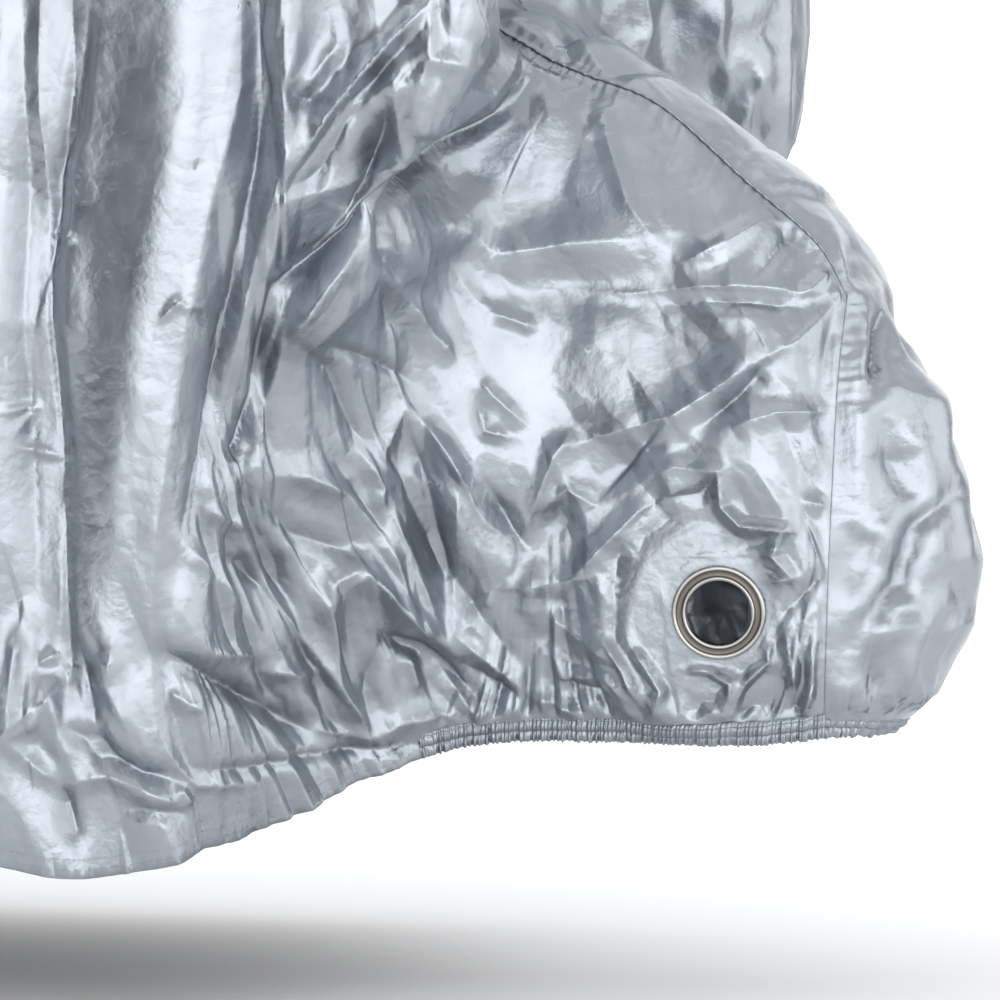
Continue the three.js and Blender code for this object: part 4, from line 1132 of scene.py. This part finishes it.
def coated_film(name, roughness):
    """Polyester taffeta with an aluminium-pigment coat: satin metal with a faint blue cast, patchily
    wrinkled, with painted shade that greys it in the hollows of its folds."""
    material, tree = new_material(name)
    place = node(tree, "ShaderNodeTexCoord").outputs["Object"]
    drift = node(tree, "ShaderNodeTexNoise", {"Scale": METRE / 30, "Detail": 2}, {"Vector": place})
    pushed = node(tree, "ShaderNodeVectorMath", {"operation": "MULTIPLY_ADD", 1: (0.006, 0.006, 0.006)},
                  {0: drift.outputs["Color"], 2: place})
    creased = node(tree, "ShaderNodeTexVoronoi", {"feature": "DISTANCE_TO_EDGE", "Scale": METRE / 17},
                   {"Vector": pushed.outputs["Vector"]})
    rippled = node(tree, "ShaderNodeTexNoise", {"Scale": METRE / 15, "Detail": 2, "Roughness": 0.4},
                   {"Vector": place})
    both = node(tree, "ShaderNodeMath", {"operation": "MULTIPLY_ADD", 1: 1.2},
                {0: rippled.outputs["Fac"], 2: creased.outputs["Distance"]})
    patches = node(tree, "ShaderNodeTexNoise", {"Scale": METRE / 80, "Detail": 1}, {"Vector": place})
    worn = node(tree, "ShaderNodeMapRange", {"From Min": 0.45, "From Max": 0.6, "To Min": 0.2, "To Max": 0.8},
                {"Value": patches.outputs["Fac"]})
    wrinkles = node(tree, "ShaderNodeTexNoise", {"Scale": METRE / 5, "Detail": 3},
                    {"Vector": pushed.outputs["Vector"]})
    tangle = node(tree, "ShaderNodeMath", {"operation": "MULTIPLY"},
                  {0: wrinkles.outputs["Fac"], 1: worn.outputs["Result"]})
    height = node(tree, "ShaderNodeMath", {"operation": "ADD"},
                  {0: both.outputs["Value"], 1: tangle.outputs["Value"]})
    bump = node(tree, "ShaderNodeBump", {"Strength": WRINKLE, "Distance": WRINKLE_HEIGHT},
                {"Height": height.outputs["Value"]})
    grain = node(tree, "ShaderNodeTexNoise", {"Scale": METRE / 0.8, "Detail": 1}, {"Vector": place})
    fine = node(tree, "ShaderNodeBump", {"Strength": 0.12, "Distance": GRAIN_HEIGHT},
                {"Height": grain.outputs["Fac"], "Normal": bump.outputs["Normal"]})
    smoothest, roughest = roughness - 0.05, roughness + 0.07
    rubbed = node(tree, "ShaderNodeMapRange",
                  {"From Min": 0.3, "From Max": 0.7, "To Min": smoothest, "To Max": roughest},
                  {"Value": drift.outputs["Fac"]})
    # painted shade: ambient occlusion mixes the base colour from the film's tint to a dark grey in the
    # hollows of the folds
    hollow = node(tree, "ShaderNodeAmbientOcclusion", {"samples": 2, "Distance": PAINTED_SHADE_REACH})
    depth = node(tree, "ShaderNodeMapRange", {"From Min": 0.25, "From Max": 0.8},
                 {"Value": hollow.outputs["AO"]})
    colour = node(tree, "ShaderNodeMix", {"data_type": "RGBA", 6: linear(PAINTED_SHADE_TINT), 7: linear(FILM_TINT)},
                  {"Factor": depth.outputs["Result"]})
    surface = node(tree, "ShaderNodeBsdfPrincipled",
                   {"Metallic": 0.87, "Coat Weight": 0.25, "Coat Roughness": 0.2},
                   {"Base Color": colour.outputs[2], "Normal": fine.outputs["Normal"],
                    "Roughness": rubbed.outputs["Result"]})
    node(tree, "ShaderNodeOutputMaterial", {}, {"Surface": surface.outputs["BSDF"]})
    return material


def thread():
    """Spun polyester thread: matt, twisted, a little lighter than the coat."""
    material, tree = new_material("spun_polyester_thread")
    place = node(tree, "ShaderNodeTexCoord").outputs["Object"]
    twist = node(tree, "ShaderNodeTexNoise", {"Scale": METRE / 0.6, "Detail": 1}, {"Vector": place})
    bump = node(tree, "ShaderNodeBump", {"Strength": 0.4, "Distance": GRAIN_HEIGHT},
                {"Height": twist.outputs["Fac"]})
    surface = node(tree, "ShaderNodeBsdfPrincipled",
                   {"Base Color": linear("#aab0bd"), "Roughness": 0.55, "Sheen Weight": 0.3},
                   {"Normal": bump.outputs["Normal"]})
    node(tree, "ShaderNodeOutputMaterial", {}, {"Surface": surface.outputs["BSDF"]})
    return material


def taffeta_back():
    """Uncoated back of the taffeta: plain weave of fine filament yarn, drawn coarse so that it shows."""
    material, tree = new_material("uncoated_polyester_taffeta")
    place = node(tree, "ShaderNodeTexCoord").outputs["Object"]
    scale = METRE / YARN / WAVE_TURN
    across, upright = (node(tree, "ShaderNodeTexWave",
                            {"wave_type": "BANDS", "bands_direction": axis, "Scale": scale},
                            {"Vector": place}) for axis in "XZ")
    weave = node(tree, "ShaderNodeMath", {"operation": "MULTIPLY"},
                 {0: across.outputs["Fac"], 1: upright.outputs["Fac"]})
    bump = node(tree, "ShaderNodeBump", {"Strength": 0.3, "Distance": GRAIN_HEIGHT},
                {"Height": weave.outputs["Value"]})
    surface = node(tree, "ShaderNodeBsdfPrincipled",
                   {"Base Color": linear("#9aa1b1"), "Metallic": 0.3, "Roughness": 0.5},
                   {"Normal": bump.outputs["Normal"]})
    node(tree, "ShaderNodeOutputMaterial", {}, {"Surface": surface.outputs["BSDF"]})
    return material


def plated_steel(name, tint, roughness):
    """Pressed steel under nickel: near-mirror on the rims, with faint turning marks and rubbed patches."""
    material, tree = new_material(name)
    place = node(tree, "ShaderNodeTexCoord").outputs["Object"]
    rubbed = node(tree, "ShaderNodeTexNoise", {"Scale": METRE / 6, "Detail": 3}, {"Vector": place})
    rough = node(tree, "ShaderNodeMapRange",
                 {"From Min": 0.3, "From Max": 0.7, "To Min": roughness, "To Max": roughness + 0.12},
                 {"Value": rubbed.outputs["Fac"]})
    marks = node(tree, "ShaderNodeTexNoise", {"Scale": METRE / 0.9, "Detail": 2}, {"Vector": place})
    bump = node(tree, "ShaderNodeBump", {"Strength": 0.05, "Distance": GRAIN_HEIGHT},
                {"Height": marks.outputs["Fac"]})
    surface = node(tree, "ShaderNodeBsdfPrincipled", {"Base Color": linear(tint), "Metallic": 1.0},
                   {"Normal": bump.outputs["Normal"], "Roughness": rough.outputs["Result"]})
    node(tree, "ShaderNodeOutputMaterial", {}, {"Surface": surface.outputs["BSDF"]})
    return material


# Camera, floor and light
def add_camera():
    """The photograph's camera."""
    data = bpy.data.cameras.new("camera")
    data.sensor_width = 36
    data.lens = data.sensor_width * PHOTO_DISTANCE / PHOTO_SPAN
    data.clip_end = 50
    camera = bpy.data.objects.new("camera", data)
    bpy.context.collection.objects.link(camera)
    camera.location = (AIM - ORIGIN + BACK * PHOTO_DISTANCE) * MM
    camera.rotation_mode = "QUATERNION"
    camera.rotation_quaternion = Vector(-BACK).to_track_quat("-Z", "Y")
    bpy.context.scene.camera = camera


# Large soft lights of the studio, drawn in the world so that the film mirrors no hard edge: azimuth and
# elevation in degrees, the angles from its middle where it begins to fade and where it has gone, and its
# radiance
SOFT_LIGHTS = (
    ("key", 26, -10, 6, 54, 2.1),
    ("side", 92, 4, 18, 40, 1.1),
    ("left", -81, 22, 20, 42, 1.6),
    ("top", -35, 79, 4, 35, 0.45),
    ("rear", 190, 18, 10, 50, 0.8),
)
# The unlit end of the room beside the camera, and the share of the light that is left there
DARK_END = (-58, -8, 20, 40, 0.17)
ROOM_LOW, ROOM_HIGH = 0.42, 0.85        # radiance of the walls below and of the ceiling
WALLS_TURN = (-0.3, 0.9)                # heights of the view's direction between which one becomes the other
FLOOR_MIDDLE = (-0.55, 0.1)
FLOOR_SIZE = (4.3, 3.2)


def direction(azimuth, elevation):
    """Unit vector towards a compass place about the object, 0 being square on to the right side."""
    az, el = math.radians(azimuth), math.radians(elevation)
    return Vector((math.sin(az) * math.cos(el), -math.cos(az) * math.cos(el), math.sin(el)))


def add_floor():
    """Pale sheet of studio floor under the whole cover."""
    bpy.ops.object.select_all(action="DESELECT")
    bpy.ops.mesh.primitive_plane_add(size=1, location=(*FLOOR_MIDDLE, -ORIGIN[2] * MM))
    floor = bpy.context.active_object
    floor.name = "floor"
    bpy.ops.object.mode_set(mode="EDIT")
    bpy.ops.mesh.select_all(action="SELECT")
    bpy.ops.transform.resize(value=(*FLOOR_SIZE, 1))
    bpy.ops.object.mode_set(mode="OBJECT")
    material, tree = new_material("studio_floor")
    surface = node(tree, "ShaderNodeBsdfPrincipled", {"Base Color": linear("#fcfcfc"), "Roughness": 0.6})
    node(tree, "ShaderNodeOutputMaterial", {}, {"Surface": surface.outputs["BSDF"]})
    floor.data.materials.append(material)


def lobe(tree, where, azimuth, elevation, inner, outer, inside, outside):
    """Value that goes from inside to outside round one direction."""
    middle = direction(azimuth, elevation)
    toward = node(tree, "ShaderNodeVectorMath", {"operation": "DOT_PRODUCT", 1: middle}, {0: where})
    limits = {"From Min": math.cos(math.radians(outer)), "From Max": math.cos(math.radians(inner)),
              "To Min": outside, "To Max": inside}
    return node(tree, "ShaderNodeMapRange", {"interpolation_type": "SMOOTHSTEP", **limits},
                {"Value": toward.outputs["Value"]}).outputs["Result"]


def set_world():
    """Studio room: grey walls, a paler ceiling, large soft lights and one dark end, on a white backdrop."""
    world = bpy.data.worlds.new("studio")
    bpy.context.scene.world = world
    world.use_nodes = True
    tree = world.node_tree
    where = node(tree, "ShaderNodeTexCoord").outputs["Generated"]
    height = node(tree, "ShaderNodeSeparateXYZ", {}, {"Vector": where}).outputs["Z"]
    low, high = WALLS_TURN
    level = node(tree, "ShaderNodeMapRange",
                 {"From Min": low, "From Max": high, "To Min": ROOM_LOW, "To Max": ROOM_HIGH},
                 {"Value": height}).outputs["Result"]
    for _, *place, radiance in SOFT_LIGHTS:
        light = lobe(tree, where, *place, radiance, 0.0)
        level = node(tree, "ShaderNodeMath", {"operation": "ADD"}, {0: level, 1: light}).outputs["Value"]
    *place, share = DARK_END
    dark = lobe(tree, where, *place, share, 1.0)
    level = node(tree, "ShaderNodeMath", {"operation": "MULTIPLY"}, {0: level, 1: dark}).outputs["Value"]
    seen = node(tree, "ShaderNodeLightPath").outputs["Is Camera Ray"]
    level = node(tree, "ShaderNodeMath", {"operation": "MAXIMUM"}, {0: level, 1: seen}).outputs["Value"]
    colour = node(tree, "ShaderNodeMix", {"data_type": "RGBA", 6: linear("#e1ebff"), 7: linear("#ffffff")},
                  {"Factor": level}).outputs[2]
    background = tree.nodes["Background"]
    tree.links.new(colour, background.inputs["Color"])
    tree.links.new(level, background.inputs["Strength"])


# The cover
def dress(piece, old, slot, *materials):
    """Gives a piece its finish and its place in the frame."""
    for material in materials:
        piece.data.materials.append(material)
    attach(piece, "root")
    if old:
        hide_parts(old)


film = coated_film("aluminium_pigment_coated_taffeta", 0.31)
casing_film = coated_film("gathered_coated_taffeta", 0.36)
yarn = thread()
steel = plated_steel("nickel_plated_steel", "#b9b7b3", 0.14)
# painted shade: darker steel for the faces in the eyelet's groove
groove_shade_steel = plated_steel("steel_with_painted_groove_shade", "#6d6963", 0.3)
back_cloth = taffeta_back()

# Rows of each side's fine and coarser grid and their columns, then rows of the strip and the welt: up the
# nose, over the top, along the back and down the stern
RIGHT_ROWS, RIGHT_COLS = (560, 150), 421
LEFT_ROWS, LEFT_COLS = (190, 90), 201
STRIP_ROWS, STRIP_COLS = (130, 190, 170, 40), 45
WELT_ROWS = (150, 400, 500, 100)
MOST_TRIANGLES = 190000         # what is left of the right panel's triangles
FRONT_CASING_PITCH, REAR_CASING_PITCH = 0.5, 0.9
STITCH_PITCH, STITCH_LENGTH, THREAD = 3.4, 2.6, 0.55
HEM_ROWS = (5, 12)              # heights of the two rows of stitches over the plain hem

add_camera()
right = Side(-1, {}, RIGHT_FOLDS + column_folds(0.4), NEAR_CREASES, salt=3)
left = Side(1, LEFT_CHANGES, LEFT_FOLDS + column_folds(2.1), FAR_CREASES, salt=41)
right_cloth = side_cloth(right, SPLIT, RIGHT_ROWS, RIGHT_COLS, HIDDEN_RIGHT)
left_cloth = side_cloth(left, SPLIT, LEFT_ROWS, LEFT_COLS, HIDDEN_LEFT)
strip = strip_cloth(left, STRIP_ROWS, STRIP_COLS, salt=81)

panel_right = add_panel("cover_panel_right", right, *right_cloth)
thin_out(panel_right, MOST_TRIANGLES)
panel_left = add_panel("cover_panel_left", left, *left_cloth)
centre_strip = add_strip("centre_strip", strip)
front_hem = band_frames(right, left, (FRONT_ELASTIC, 0), strip, True)
rear_hem = band_frames(right, left, (REAR_ELASTIC, LAST), strip, False)
front_casing = add_band("front_elastic_casing", front_hem, FRONT_CASING_PITCH, seed=91)
rear_casing = add_band("rear_elastic_casing", rear_hem, REAR_CASING_PITCH, seed=97)

seam_welt = add_welt("seam_welt", (right, left), WELT_ROWS)
dress(seam_welt, None, "coated_cloth", film)
dress(panel_right, "panel_right", "coated_cloth", film)
dress(panel_left, "panel_left", "coated_cloth", film)
dress(centre_strip, "top_strip", "coated_cloth", film)
for casing in (front_casing, rear_casing):
    dress(casing, None, "coated_cloth", casing_film)


def hem_lines(side, cloths, above):
    """Lines of stitches above the plain stretch of one side's hem."""
    places, ways = [], []
    for cloth, (start, end) in zip(cloths, ((0, SPLIT), (SPLIT, LAST))):
        at = side.even_rows(start, end, len(cloth.points))
        rows = (at > FRONT_ELASTIC + 0.05) & (at < REAR_ELASTIC - 0.05)
        line, way = line_above(cloth, above, rows)
        places.append(line)
        ways.append(way)
    return np.concatenate(places) * side.mirror, np.concatenate(ways) * side.mirror


hem_rows = [hem_lines(side, cloths, above) for side, cloths in ((right, right_cloth), (left, left_cloth))
            for above in HEM_ROWS]
hem_stitches = add_stitching("hem_stitching", hem_rows, STITCH_PITCH, STITCH_LENGTH, THREAD)
dress(hem_stitches, None, "coated_cloth", yarn)

for side_name, sign in (("right", -1), ("left", 1)):
    ring = add_eyelet("lock_eyelet_" + side_name, sign)
    dress(ring, "eyelet_" + side_name, "eyelet_steel", steel, groove_shade_steel)
    patch = add_patch("eyelet_patch_" + side_name, sign)
    dress(patch, "patch_" + side_name, "patch_cloth", back_cloth)

add_floor()
set_world()
bpy.context.scene.view_settings.view_transform = "Standard"
